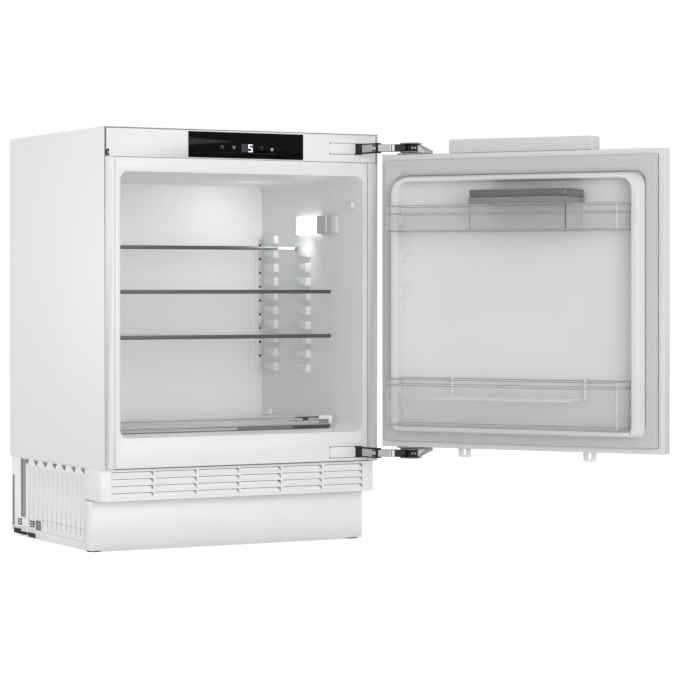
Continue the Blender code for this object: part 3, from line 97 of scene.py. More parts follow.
def surface(name, pale, deep, roughness, grain, relief, cloud=0.150, stretch=(1.0, 1.0, 1.0), clear=None, extra=None):
    """A finish whose grain stands in its relief and its gloss, and whose wide, faint clouds are in its colour.

    The sizes are real ones in metres. A clear finish gives how much of it shows where one looks straight at it,
    and how much where one looks along it.
    """
    material = bpy.data.materials.new(name)
    material.use_nodes = True
    tree = material.node_tree
    tree.nodes.clear()
    place = add_node(tree, "ShaderNodeTexCoord").outputs["Object"]
    drawn = add_node(tree, "ShaderNodeMapping", {"Scale": stretch}, {"Vector": place}).outputs["Vector"]
    clouds = add_node(tree, "ShaderNodeTexNoise", {"Scale": 1 / cloud, "Detail": 2.0}, {"Vector": place}).outputs["Fac"]
    grains = add_node(tree, "ShaderNodeTexNoise", {"Scale": 1 / grain, "Detail": 3.0}, {"Vector": drawn}).outputs["Fac"]
    shades = {"data_type": "RGBA", 6: linear(deep), 7: linear(pale)}
    colour = add_node(tree, "ShaderNodeMix", shades, {0: clouds}).outputs[2]
    spread = {"To Min": 0.85 * roughness, "To Max": 1.15 * roughness}
    gloss = add_node(tree, "ShaderNodeMapRange", spread, {"Value": grains}).outputs["Result"]
    bump = add_node(tree, "ShaderNodeBump", {"Strength": 0.7, "Distance": relief}, {"Height": grains}).outputs["Normal"]
    feeds = {"Base Color": colour, "Roughness": gloss, "Normal": bump}
    if clear:
        slant = add_node(tree, "ShaderNodeLayerWeight", {"Blend": 0.5}).outputs["Facing"]
        curve = add_node(tree, "ShaderNodeMath", {"operation": "POWER", 1: 3.0}, {0: slant}).outputs["Value"]
        shown = {"To Min": clear[0], "To Max": clear[1]}
        feeds["Alpha"] = add_node(tree, "ShaderNodeMapRange", shown, {"Value": curve}).outputs["Result"]
    shader = add_node(tree, "ShaderNodeBsdfPrincipled", extra, feeds)
    add_node(tree, "ShaderNodeOutputMaterial", None, {"Surface": shader.outputs["BSDF"]})
    return material


# Sheet steel with baked powder coat: a very fine orange peel of about 1.5 mm, drawn at 3 mm so that it shows,
# and a soft sheen.
powder_coat = surface("powder_coated_steel", "#f3f3f2", "#f1f1f0", 0.42, 0.003, 0.00004)
# High-impact polystyrene drawn over a mould: satin and slightly wavy where the sheet thinned.
drawn_liner = surface("drawn_polystyrene_liner", "#f2f3f3", "#ebecec", 0.34, 0.030, 0.00025)
door_liner_sheet = surface("drawn_polystyrene_door", "#e6e7e7", "#dfe0e0", 0.30, 0.030, 0.00025)
# The door's own sheet is coated in a slightly greyer white, and so is the cover on it.
door_sheet = surface("coated_door_steel", "#e2e2e2", "#dbdbdb", 0.40, 0.003, 0.00004)
cover_moulding = surface("grey_white_abs", "#dddddc", "#d6d6d5", 0.45, 0.0012, 0.00003)
# Moulded ABS of the control strip: an even, fine spark-eroded grain.
strip_moulding = surface("moulded_abs", "#f4f4f3", "#eeeeed", 0.45, 0.0012, 0.00003)
# Moulded polypropylene of the base, grille and plinth: greasier gloss with faint flow clouds.
base_moulding = surface("moulded_polypropylene", "#f8f8f7", "#f2f2f1", 0.40, 0.004, 0.00006, cloud=0.060)
# Toughened glass printed black from behind and coated against reflections: deep black with hardly a gleam.
display_black = surface(
    "back_printed_black_glass", "#060607", "#040405", 0.10, 0.020, 0.000004,
    extra={"Specular IOR Level": 0.08})
# Pale print on the display, and its lit figure: matt, slightly glowing.
display_grey = surface("display_print", "#9b9b9e", "#909094", 0.60, 0.002, 0.00001)
display_window = surface("display_window_print", "#232830", "#1c2028", 0.35, 0.003, 0.00001)
display_light = surface(
    "lit_display_figure", "#ffffff", "#f4f6ff", 0.50, 0.002, 0.00001,
    extra={"Emission Color": linear("#f2f5ff"), "Emission Strength": 0.9})
# Float glass: clear, flat and barely green, darker where one looks into its cut edge.
shelf_glass = surface(
    "float_glass", "#b4bbba", "#a8b0ae", 0.02, 0.200, 0.00001,
    clear=(0.03, 0.30), extra={"IOR": 1.52})
# Smoke-grey ABS trims on the shelf fronts, dark satin, and small white clips and levers; the same white is a painted
# glint at the end of the upper shelf's trim.
smoke_trim = surface("smoke_grey_abs", "#5a5b5e", "#4f5053", 0.35, 0.002, 0.00003)
white_abs_and_painted_glint = surface("white_abs_clip_and_painted_glint", "#f2f2f1", "#ebebea", 0.38, 0.0015, 0.00002)
# Clear polystyrene of the racks and the box: bright edges and a faint draw of the mould.
clear_rack = surface(
    "clear_polystyrene", "#dadcdc", "#d1d3d3", 0.06, 0.040, 0.00006,
    clear=(0.07, 0.50), extra={"IOR": 1.59})
# The small box is the same plastic with thinner walls, frosted on its inside.
clear_box = surface(
    "frosted_polystyrene", "#e6e8e8", "#dddfdf", 0.16, 0.040, 0.00006,
    clear=(0.08, 0.40), extra={"IOR": 1.59})
# Translucent grey lid of the small box.
grey_lid = surface("grey_tinted_polystyrene", "#6b6c6f", "#5f6063", 0.28, 0.004, 0.00003)
# Soft PVC seal with the magnet strip in it: dull light grey, faintly ribbed along its length.
seal_pvc = surface("soft_pvc_seal", "#cdcece", "#c5c6c6", 0.55, 0.002, 0.00006)
# Milky polycarbonate over the light, glowing from inside, and the satin moulding round it.
lamp_milk = surface(
    "lit_opal_polycarbonate", "#ffffff", "#fafafa", 0.40, 0.003, 0.00003,
    extra={"Emission Color": linear("#ffffff"), "Emission Strength": 1.3})
lamp_moulding = surface("lamp_housing_abs", "#e4e4e4", "#dcdcdc", 0.40, 0.0015, 0.00003)
# Painted shade on recessed parts of the same moulding: a greyer white that stands for the shade they lie in.
lamp_painted_shade = surface("lamp_housing_painted_shade", "#c9caca", "#bfc0c0", 0.40, 0.0015, 0.00003)
# Nickel-plated pressed steel of the hinge arms: bright, brushed along the arm. The pins are darker.
hinge_nickel = surface(
    "nickel_plated_steel", "#c9cacc", "#a9aaad", 0.34, 0.0016, 0.00005,
    stretch=(1.0, 1.0, 0.15), extra={"Metallic": 1.0})
hinge_steel = surface(
    "blued_hinge_steel", "#8b8c8f", "#6f7073", 0.40, 0.0016, 0.00006,
    stretch=(1.0, 1.0, 0.15), extra={"Metallic": 1.0})
# The links are drawn black: painted shade on the first link's cheeks and in its notches.
links_black_painted_shade = surface("black_link_steel_painted_shade", "#26272a", "#1b1c1e", 0.42, 0.0016, 0.00005, extra={"Metallic": 0.6})
# Glass-filled nylon around the hinge: matt black with a coarse grain.
black_nylon = surface("black_glass_filled_nylon", "#1d1d1f", "#131315", 0.55, 0.0015, 0.00012)
# Painted shade: greys that stand for the shade in gaps, slots, openings and grooves and along edges, darkest far inside
# and paler nearer to their mouths.
deep_painted_shade = surface("painted_deep_shade_grey", "#2f2f31", "#252527", 0.80, 0.004, 0.00005)
pale_painted_shade = surface("painted_pale_shade_grey", "#a2a3a5", "#97989a", 0.60, 0.006, 0.00005)
mid_painted_shade = surface("painted_mid_shade_grey", "#7e7f81", "#737476", 0.60, 0.006, 0.00005)
# A grey pleated screen with a fine grain drawn at 1.5 mm, painted as the shade inside the base behind the louvres.
screen_shade_grey = surface("grey_screen_painted_shade", "#8b8c8e", "#7d7e80", 0.90, 0.0015, 0.00030)
# Edges of the clear mouldings drawn as lines of the same plastic: a grey for painted shade and a paler grey for painted
# highlights, also on the dashes of the back corner strips.
shade_line_grey = surface("clear_edge_painted_shade", "#a3a5a5", "#979999", 0.12, 0.020, 0.00003)
highlight_line_pale = surface("clear_edge_painted_highlight", "#e9eaea", "#e0e1e1", 0.12, 0.020, 0.00003)
# A dark grey: the corner clip's own plastic, painted shade on the box's upright edges and in the back corners' holes,
# and a painted dark reflection on the floor plate's rail.
dark_plastic_and_painted_shade = surface("dark_clip_plastic_and_painted_edge_shade", "#4c4d50", "#424346", 0.20, 0.020, 0.00003)
rim_grey = surface("grey_tinted_rim", "#8b8c8e", "#7f8082", 0.28, 0.004, 0.00003)
# Silver-grey ABS of the front rail under the floor plate, with tinted lines in it; the same grey is painted shade along
# two creases of the base's side walls.
silver_grey_and_crease_shade = surface("silver_grey_abs_and_crease_shade", "#bcbdbe", "#b0b1b2", 0.22, 0.030, 0.00004)
# Zinc-plated pressed steel of the door's brackets.
bracket_zinc = surface(
    "zinc_plated_bracket", "#a4a6a9", "#8f9194", 0.38, 0.0030, 0.00004,
    cloud=0.010, extra={"Metallic": 1.0})
# Drawn copper of the refrigerant pipes, dull from the brazing.
pipe_copper = surface("drawn_copper", "#b97a5a", "#8d5a41", 0.38, 0.004, 0.00003, cloud=0.015, extra={"Metallic": 1.0})
# Matt moulded cover of the compressor's relay.
relay_black = surface("black_phenolic_moulding", "#232324", "#1b1b1c", 0.55, 0.002, 0.00006)
# Turned brass of the inlet's pins.
pin_brass = surface("turned_brass", "#c9a65a", "#b08e45", 0.30, 0.002, 0.00002, extra={"Metallic": 1.0})
# Zinc-plated screws.
screw_zinc = surface("zinc_plated_screw", "#b9bbbd", "#a1a3a6", 0.30, 0.002, 0.00002, extra={"Metallic": 1.0})
# Galvanised sheet: cold grey with wide zinc flowers.
galvanised = surface(
    "galvanised_sheet", "#c3c5c7", "#9fa2a5", 0.38, 0.012, 0.00002,
    cloud=0.014, extra={"Metallic": 1.0})
# Deep-drawn compressor shell in black stove enamel: thick, glossy, slightly wavy.
stove_black = surface("black_stove_enamel", "#17181a", "#0f1011", 0.25, 0.006, 0.00006)
# Steel wire dipped in white or black plastic.
wire_white = surface("plastic_coated_wire", "#eeefef", "#e2e3e3", 0.30, 0.005, 0.00003)
condenser_black = surface("enamelled_condenser_wire", "#232425", "#191a1b", 0.38, 0.004, 0.00005)
# Polyurethane foam: honey-coloured, closed cells of about 0.3 mm drawn at 2 mm.
pu_foam = surface("polyurethane_foam", "#d9c58f", "#c7b17a", 0.85, 0.002, 0.00040)
# Rolled aluminium of the cooling plate.
plate_aluminium = surface(
    "rolled_aluminium", "#c9cbcd", "#b5b8ba", 0.42, 0.003, 0.00003,
    stretch=(1.0, 1.0, 0.1), extra={"Metallic": 1.0})
# Black rubber-like polyamide of rollers and carriers.
roller_nylon = surface("black_polyamide", "#09090a", "#050506", 0.70, 0.002, 0.00006)


# Making and placing pieces

def finish_piece(name, shape, body, material, hides=(), bevel=0.0, segments=2):
    """Puts a finished mesh in the scene, with its edges rounded by bevel metres."""
    if isinstance(shape, bmesh.types.BMesh):
        mesh = bpy.data.meshes.new(name)
        shape.to_mesh(mesh)
        shape.free()
    else:
        mesh = shape
        mesh.name = name
    mesh.materials.clear()
    mesh.materials.append(material)
    mesh.shade_smooth()
    piece = bpy.data.objects.new(name, mesh)
    bpy.context.scene.collection.objects.link(piece)
    if bevel:
        rounding = piece.modifiers.new("rounded_edges", "BEVEL")
        rounding.width = bevel
        rounding.segments = segments
        rounding.limit_method = "ANGLE"
        rounding.angle_limit = EDGE_ANGLE
        rounding.use_clamp_overlap = False
        rounding.harden_normals = True
    else:
        mesh.set_sharp_from_angle(angle=EDGE_ANGLE)
    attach(piece, body)
    if hides:
        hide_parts(*hides)


def body_of(node):
    return frame["nodes"][node]["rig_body"]


def cad_copy(node):
    """A node's own solid, its loose triangles merged."""
    bm = bmesh.new()
    bm.from_mesh(frame["nodes"][node].data)
    bmesh.ops.remove_doubles(bm, verts=bm.verts, dist=0.00001)
    return bm


def dress(node, material, bevel, segments=2):
    """The node's solid with rounded edges and its finish stands for the node."""
    finish_piece(f"{node}_finish", cad_copy(node), body_of(node), material, [node], bevel, segments)


def repaint(node, material):
    """Gives a node that keeps its own shape its finish."""
    mesh = frame["nodes"][node].data
    if mesh.materials:
        for i in range(len(mesh.materials)):
            mesh.materials[i] = material
    else:
        mesh.materials.append(material)


def add_block(bm, low, high, space=Matrix()):
    """Adds a box between two corners, turned into the given space."""
    low, high = Vector(low), Vector(high)
    place = Matrix.Translation((low + high) / 2) @ Matrix.Diagonal((*(high - low), 1.0))
    return bmesh.ops.create_cube(bm, size=1.0, matrix=space @ place)["verts"]


def add_round(bm, start, end, radius, end_radius=None, sides=24, space=Matrix()):
    """Adds a round bar or cone from one point to another."""
    start, end = space @ Vector(start), space @ Vector(end)
    along = end - start
    place = Matrix.Translation((start + end) / 2) @ along.to_track_quat("Z", "Y").to_matrix().to_4x4()
    tip = radius if end_radius is None else end_radius
    bmesh.ops.create_cone(
        bm, cap_ends=True, segments=sides, radius1=radius, radius2=tip, depth=along.length, matrix=place)


def bent_wire(bm, points, radius, fillet, sides=10, closed=False, space=Matrix()):
    """Adds a wire or tube that runs through the points with its corners bent to the fillet radius."""
    places = [space @ Vector(p) for p in points]
    path = []
    count = len(places)
    for i, place in enumerate(places):
        if not closed and i in (0, count - 1):
            path.append(place)
            continue
        before, after = places[i - 1] - place, places[(i + 1) % count] - place
        half = before.angle(after) / 2
        reach = min(fillet / math.tan(half), 0.49 * before.length, 0.49 * after.length)
        arm_in, arm_out = place + before.normalized() * reach, place + after.normalized() * reach
        for step in range(CORNER_STEPS + 1):
            t = step / CORNER_STEPS
            path.append((1 - t) ** 2 * arm_in + 2 * t * (1 - t) * place + t * t * arm_out)
    curve = bpy.data.curves.new("wire_path", "CURVE")
    curve.dimensions = "3D"
    curve.bevel_depth = radius
    curve.bevel_resolution = max(sides // 4 - 1, 1)
    curve.use_fill_caps = True
    spline = curve.splines.new("POLY")
    spline.points.add(len(path) - 1)
    for point, place in zip(spline.points, path):
        point.co = (*place, 1.0)
    spline.use_cyclic_u = closed
    helper = bpy.data.objects.new("wire_path", curve)
    mesh = bpy.data.meshes.new_from_object(helper)
    bm.from_mesh(mesh)
    bpy.data.objects.remove(helper)
    bpy.data.curves.remove(curve)
    bpy.data.meshes.remove(mesh)


def rounded_loop(bm, low, high, radius, depth, space):
    """A loop of edges round a rectangle with round corners, at the given depth in the space's own Y."""
    wide, tall = high[0] - low[0], high[1] - low[1]
    flat = Matrix((
        (wide, 0, 0, (low[0] + high[0]) / 2),
        (0, 0, -1, depth),
        (0, tall, 0, (low[1] + high[1]) / 2),
        (0, 0, 0, 1),
    ))
    verts = bmesh.ops.create_grid(bm, x_segments=1, y_segments=1, size=0.5, matrix=space @ flat)["verts"]
    faces = list({f for v in verts for f in v.link_faces})
    rounded = bmesh.ops.bevel(
        bm, geom=verts, offset=radius, affect="VERTICES", segments=CORNER_STEPS, profile=0.5, material=-1)
    face = next(f for f in bm.faces if f in faces or set(rounded["verts"]) & set(f.verts))
    edges = list(face.edges)
    bmesh.ops.delete(bm, geom=[face], context="FACES_ONLY")
    return edges


def ring(bm, profile, space):
    """A closed ring: each step of its profile is (low corner, high corner, corner radius, depth)."""
    loops = [rounded_loop(bm, *step, space) for step in profile]
    for one, other in zip(loops, loops[1:] + loops[:1]):
        bmesh.ops.bridge_loops(bm, edges=one + other)
    bmesh.ops.recalc_face_normals(bm, faces=bm.faces)


# The cabinet

for node, material, bevel, segments in (
    ("outer_shell", powder_coat, 0.0010, 3),
    ("control_fascia", strip_moulding, 0.0008, 2),
    ("display_glass", display_black, 0.0004, 2),
    ("inner_liner", drawn_liner, 0.0012, 2),
    ("back_panel", galvanised, 0.0004, 1),
    ("base_frame", base_moulding, 0.0005, 1),
    ("vent_grille", base_moulding, 0.0005, 2),
    ("plinth_panel", base_moulding, 0.0006, 2),
    ("lamp_housing", lamp_moulding, 0.0010, 2),
    ("lamp_lens", lamp_milk, 0.0015, 3),
    ("door_switch", white_abs_and_painted_glint, 0.0008, 2),
    ("hinge_cover_upper", strip_moulding, 0.0005, 2),
    ("hinge_cover_lower", strip_moulding, 0.0005, 2),
    ("cabinet_bracket_upper", black_nylon, 0.0004, 1),
    ("cabinet_bracket_lower", black_nylon, 0.0004, 1),
    # The links in black: painted shade on the first link's cheeks.
    ("link_a_upper", links_black_painted_shade, 0.0006, 2),
    ("link_a_lower", links_black_painted_shade, 0.0006, 2),
    ("link_b_upper", links_black_painted_shade, 0.0006, 2),
    ("link_b_lower", links_black_painted_shade, 0.0006, 2),
    ("roller_carrier_left", roller_nylon, 0.0005, 2),
    ("roller_carrier_right", roller_nylon, 0.0005, 2),
    ("rear_roller_left", roller_nylon, 0.0008, 2),
    ("rear_roller_right", roller_nylon, 0.0008, 2),
    ("front_foot_left", roller_nylon, 0.0008, 2),
    ("front_foot_right", roller_nylon, 0.0008, 2),
    ("drip_tray", roller_nylon, 0.0008, 2),
    ("compressor", stove_black, 0.0020, 3),
    ("mains_inlet", black_nylon, 0.0005, 2),
    ("bottom_shelf_front_trim", silver_grey_and_crease_shade, 0.0004, 2),
    ("shelf_upper_front_trim", smoke_trim, 0.0006, 2),
    ("shelf_middle_front_trim", smoke_trim, 0.0006, 2),
    ("shelf_lower_front_trim", smoke_trim, 0.0006, 2),
    ("shelf_upper_glass", shelf_glass, 0.0004, 2),
    ("shelf_middle_glass", shelf_glass, 0.0004, 2),
    ("shelf_lower_glass", shelf_glass, 0.0004, 2),
    ("bottom_shelf_glass", shelf_glass, 0.0004, 2),
    # The door.
    ("door_outer_panel", door_sheet, 0.0010, 2),
    ("door_inner_liner", door_liner_sheet, 0.0015, 3),
    ("door_fixing_cover", cover_moulding, 0.0012, 2),
    ("fixing_tab_inner", strip_moulding, 0.0005, 2),
    ("fixing_tab_outer", strip_moulding, 0.0005, 2),
    ("door_bracket_upper", bracket_zinc, 0.0004, 1),
    ("door_bracket_lower", bracket_zinc, 0.0004, 1),
    ("upper_rack", clear_rack, 0.0006, 2),
    ("lower_rack", clear_rack, 0.0006, 2),
    ("storage_box", clear_box, 0.0005, 2),
    ("box_lid", grey_lid, 0.0008, 2),
):
    dress(node, material, bevel, segments)

for node, material in (
    ("foam_insulation", pu_foam),
    ("door_insulation", pu_foam),
    ("evaporator_plate", plate_aluminium),
    ("condenser_coil", condenser_black),
    ("bottle_comb", wire_white),
    ("cabinet_pin_upper", hinge_steel),
    ("cabinet_pin_lower", hinge_steel),
    ("door_pin_upper", hinge_steel),
    ("door_pin_lower", hinge_steel),
    ("link_pin_upper", hinge_steel),
    ("link_pin_lower", hinge_steel),
):
    repaint(node, material)


# The display's symbols, from the end away from the hinges: on and off, fast cooling, the lit figure in its window,
# the unit and the alarm.

DISPLAY_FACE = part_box("display_glass")[0].y
PRINT_GAP = 0.00003                # from the glass to the back of a printed mark


def face_block(bm, x, z, deep=0.00015):
    """Adds a thin printed mark on the display's face."""
    add_block(bm, (x[0], DISPLAY_FACE - deep, z[0]), (x[1], DISPLAY_FACE - PRINT_GAP, z[1]))


def face_bar(bm, start, end, stroke, deep=0.00015):
    """Adds a printed stroke from one point of the display's face to another."""
    start, end = Vector((start[0], 0.0, start[1])), Vector((end[0], 0.0, end[1]))
    along = end - start
    turn = Matrix.Rotation(-math.atan2(along.z, along.x), 4, "Y")
    place = Matrix.Translation((start + end) / 2 + Vector((0.0, DISPLAY_FACE - deep / 2 - PRINT_GAP, 0.0)))
    size = Matrix.Diagonal((along.length + stroke, deep, stroke, 1.0))
    bmesh.ops.create_cube(bm, size=1.0, matrix=place @ turn @ size)


def face_ring(bm, centre, radius, stroke, first, last, steps=18):
    """Adds part of a printed ring, between two angles in degrees."""
    points = []
    for i in range(steps + 1):
        angle = math.radians(first + (last - first) * i / steps)
        points.append((centre[0] + radius * math.cos(angle), centre[1] + radius * math.sin(angle)))
    for one, other in zip(points, points[1:]):
        face_bar(bm, one, other, stroke)


symbols = bmesh.new()
SYMBOL_RADIUS, POWER_X, STAR_X, STAR_Z = 0.0036, -0.0490, -0.0234, 0.7866
face_ring(symbols, (POWER_X, 0.7857), SYMBOL_RADIUS, 0.0009, -230, 50)
face_bar(symbols, (POWER_X, 0.7866), (POWER_X, 0.7900), 0.0009)
for angle in (0, 60, 120):
    reach = Vector((SYMBOL_RADIUS * math.cos(math.radians(angle)), SYMBOL_RADIUS * math.sin(math.radians(angle))))
    face_bar(symbols, (STAR_X - reach.x, STAR_Z - reach.y), (STAR_X + reach.x, STAR_Z + reach.y), 0.0010)
face_ring(symbols, (0.0322, 0.7892), 0.0009, 0.0006, 0, 360, 10)
face_ring(symbols, (0.0375, 0.7860), 0.0030, 0.0009, 50, 310, 14)
face_ring(symbols, (0.0601, 0.7868), 0.0024, 0.0008, 0, 180, 10)
face_block(symbols, (0.0572, 0.0630), (0.7816, 0.7866))
finish_piece("display_symbols", symbols, "cabinet", display_grey)

window = bmesh.new()
face_block(window, (-0.0068, 0.0190), (0.7778, 0.7938), 0.00008)
finish_piece("display_window", window, "cabinet", display_window)

underline = bmesh.new()
face_bar(underline, (-0.0570, 0.7755), (0.0699, 0.7755), 0.0004)
finish_piece("display_underline", underline, "cabinet", display_window)

figure = bmesh.new()
for start, end in (
    ((0.0094, 0.7921), (0.0162, 0.7921)),
    ((0.0092, 0.7917), (0.0092, 0.7866)),
    ((0.0100, 0.7860), (0.0154, 0.7860)),
    ((0.0162, 0.7852), (0.0162, 0.7798)),
    ((0.0092, 0.7791), (0.0156, 0.7791)),
):
    face_bar(figure, start, end, 0.0016, 0.00025)
finish_piece("display_figure", figure, "cabinet", display_light)


# The magnetic seal: a foot in the door's groove, one soft fold, the square magnet sleeve and a lip towards the
# ring inside it.

def seal_step(inset, depth, radius, top_extra=0.0):
    low = (inset, DOOR_LOW + inset)
    high = (DOOR_WIDE - inset, DOOR_HIGH - inset - top_extra)
    return (low, high, radius, depth)


seal = bmesh.new()
ring(seal, [
    seal_step(0.0128, -0.0022, 0.0060),
    seal_step(0.0136, -0.0060, 0.0060),
    seal_step(0.0124, -0.0080, 0.0060),
    seal_step(0.0124, -0.0132, 0.0060),
    seal_step(0.0138, -0.0145, 0.0055),
    seal_step(0.0300, -0.0143, 0.0200, 0.0030),
    seal_step(0.0326, -0.0128, 0.0240, 0.0050),
    seal_step(0.0330, -0.0070, 0.0240, 0.0095),
    seal_step(0.0330, -0.0040, 0.0240, 0.0095),
    seal_step(0.0260, -0.0022, 0.0180, 0.0012),
], DOOR)
finish_piece("magnetic_seal", seal, "door", seal_pvc, ["door_gasket"])


# The base: a grey screen behind the louvres, painted as the shade inside the base, and what shows through and on the
# side walls

def side_block(bm, side, near, far, y, z):
    """Adds a box on the left or right of the fridge, between two distances from its middle."""
    low, high = sorted((side * near, side * far))
    return add_block(bm, (low, y[0], z[0]), (high, y[1], z[1]))


def both_sides(blocks):
    """A mesh with the same boxes on the left and on the right."""
    bm = bmesh.new()
    for side in (-1, 1):
        for spans in blocks:
            side_block(bm, side, *spans)
    return bm


def side_piece(name, material, blocks, bevel=0.0):
    """One piece made of boxes, on both sides of the base."""
    finish_piece(name, both_sides(blocks), "cabinet", material, bevel=bevel)


WALL = 0.2965                      # outer face of the base's side walls
WALL_ROOT = WALL - 0.0005          # where thin pieces on the walls begin, inside them
RIBBED = (-0.1510, 0.0790)         # ribbed stretch of the walls, from front to rear

# Painted shade: a grey pleated sheet that stands for the dark inside of the base behind the louvres.
SCREEN_END, SCREEN_LOW, SCREEN_HIGH = 0.2920, 0.1045, 0.1610
PLEAT = 0.004
louvre_screen_mesh = bmesh.new()
add_block(louvre_screen_mesh, (-SCREEN_END, -0.2165, SCREEN_LOW), (SCREEN_END, -0.2155, SCREEN_HIGH))
for number in range(int(2 * SCREEN_END / PLEAT)):
    x = -SCREEN_END + number * PLEAT
    add_block(louvre_screen_mesh, (x, -0.2155, SCREEN_LOW), (x + PLEAT / 2, -0.2145, SCREEN_HIGH))
finish_piece("louvre_painted_shade_screen", louvre_screen_mesh, "cabinet", screen_shade_grey)

# Slats in the louvres, each cut off at a slant at its right end, where one sees into the dark.
LOUVRE_COLUMNS, LOUVRE_ROWS = 6, 4
LOUVRE_PITCH, LOUVRE_DROP = 0.0922, 0.0135
SLAT_TILT = math.radians(24)
slats = bmesh.new()
for column in range(LOUVRE_COLUMNS):
    for row in range(LOUVRE_ROWS):
        start, end = -0.2752 + LOUVRE_PITCH * column, -0.1878 + LOUVRE_PITCH * column
        top = 0.1570 - LOUVRE_DROP * row
        place = Matrix.Translation((0.0, -0.2317, top - 0.0095)) @ Matrix.Rotation(-SLAT_TILT, 4, "X")
        corners = add_block(slats, (start, 0.0, 0.0), (end, 0.0008, 0.0090), place)
        # A dict keeps the order of what goes in, where a set would shuffle it in each run.
        part = dict.fromkeys(item for v in corners for item in [v, *v.link_edges, *v.link_faces])
        bmesh.ops.bisect_plane(
            slats, geom=list(part), plane_co=(end, 0.0, top - 0.0098), plane_no=(0.0098, 0.0, 0.0068),
            clear_outer=True)
        bmesh.ops.holes_fill(slats, edges=[e for e in slats.edges if e.is_boundary])
finish_piece("louvre_slats", slats, "cabinet", base_moulding)

# A grey strip in the gap between the grille and the plinth: painted shade.
strip = bmesh.new()
add_block(strip, (-0.2962, -0.1845, 0.0986), (0.2962, -0.1560, 0.1009))
finish_piece("plinth_gap_painted_shade", strip, "cabinet", pale_painted_shade, bevel=0.0004)

# A band lies over the solid's own notches, and grey inlays are painted as the shade where the notches are seen.
BAND_START = -0.1515
side_piece("base_top_band", base_moulding, [(WALL - 0.0020, WALL + 0.0002, (BAND_START, 0.1610), (0.1462, 0.1604))])
NOTCH_COUNT, NOTCH_PITCH, NOTCH_TOP = 7, 0.0500, 0.1603
notches = bmesh.new()
for side in (-1, 1):
    for number in range(NOTCH_COUNT):
        start = -0.1557 + NOTCH_PITCH * number
        along = (max(start, BAND_START), start + 0.0265)
        for v in side_block(notches, side, WALL_ROOT, WALL + 0.0005, along, (0.1490, NOTCH_TOP)):
            if v.co.z < 0.155:
                v.co.y = start + 0.0095
finish_piece("base_side_notch_shades", notches, "cabinet", mid_painted_shade)
# Painted shade: grey sheets behind the side slots and in the thin slits on the walls.
side_piece("base_slot_backing_shade", pale_painted_shade, [(0.2915, 0.2932, (0.1580, 0.1975), (0.0320, 0.1622))])
side_piece("base_slot_shade", mid_painted_shade, [(0.2933, 0.2938, (0.1640, 0.1745), (0.0402, 0.1605))])
side_piece("base_side_slit", mid_painted_shade, [(WALL_ROOT, WALL + 0.0002, (0.2275, 0.2370), (0.0200, 0.1245))])

# The vents are dark marks on the walls, painted as the shade in their openings.
VENT_ROWS, VENT_PITCH, VENT_TALL = 3, 0.0048, 0.0032
vents = []
for start in (0.1160, 0.1835):
    for row in range(VENT_ROWS):
        low = 0.0236 + VENT_PITCH * row
        vents.append((WALL_ROOT, WALL + 0.0002, (start, start + 0.0110), (low, low + VENT_TALL)))
        vents.append((WALL_ROOT, WALL + 0.0002, (start + 0.0130, start + 0.0235), (low, low + VENT_TALL)))
    vents.append((WALL_ROOT, WALL + 0.0002, (start + 0.0100, start + 0.0125), (0.0165, 0.0192)))
side_piece("base_side_vents", deep_painted_shade, vents)

side_piece("base_side_pad", mid_painted_shade, [(WALL_ROOT, WALL + 0.0010, (0.0796, 0.1064), (0.0202, 0.0395))], 0.0005)
side_piece("base_side_folds", base_moulding, [(WALL_ROOT, WALL + 0.0008, RIBBED, (0.0035, 0.0172))], 0.0004)
# Grey lines along the walls' creases: painted shade.
side_piece("base_side_creases", silver_grey_and_crease_shade, [
    (WALL_ROOT, WALL + 0.0002, RIBBED, (0.0417, 0.0422)),
    (WALL_ROOT, WALL + 0.0003, RIBBED, (0.0172, 0.0179)),
])
side_piece("base_side_skids", roller_nylon, [
    (WALL - 0.0110, WALL + 0.0008, (0.1900, 0.2300), (0.0042, 0.0152)),
    (WALL - 0.0110, WALL + 0.0008, (0.1710, 0.1900), (0.0042, 0.0103)),
    (WALL - 0.0020, WALL + 0.0008, (0.1100, 0.1500), (0.0022, 0.0118)),
], 0.0006)


# The small clip at the control strip's left end, and a grey strip painted as the shade in the gap beside the strip

clip = bmesh.new()
add_block(clip, (-0.2950, -0.2512, 0.7642), (-0.2885, -0.2500, 0.7775))
add_round(clip, (-0.2940, -0.2500, 0.77085), (-0.2940, -0.2512, 0.77085), 0.0040, sides=4)
finish_piece("corner_clip", clip, "cabinet", dark_plastic_and_painted_shade, bevel=0.0003)
clip_screw = bmesh.new()
add_round(clip_screw, (-0.2912, -0.2509, 0.77085), (-0.2912, -0.2517, 0.77085), 0.0019, 0.0016)
finish_piece("corner_clip_screw", clip_screw, "cabinet", screw_zinc)
# A grey strip in the gap beside the control strip: painted shade.
side_gap_grey = bmesh.new()
add_block(side_gap_grey, (-0.2958, -0.2502, 0.7795), (-0.2943, -0.2496, 0.8178))
finish_piece("strip_side_gap_shade", side_gap_grey, "cabinet", mid_painted_shade)


# The plate on the compartment's floor: lines on its silver-grey front rail with a painted dark reflection on the rail's
# right part, clips and a white edging

TRIM = "bottom_shelf_front_trim"
TRIM_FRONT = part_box(TRIM)[0].y
TRIM_BODY = body_of(TRIM)


def rail_strips(name, material, spans, deep=0.0004):
    """One piece made of flat strips on the rail's front, each with its spans along and up."""
    bm = bmesh.new()
    for x, z in spans:
        add_block(bm, (x[0], TRIM_FRONT - deep, z[0]), (x[1], TRIM_FRONT + 0.0006, z[1]))
    finish_piece(name, bm, TRIM_BODY, material)


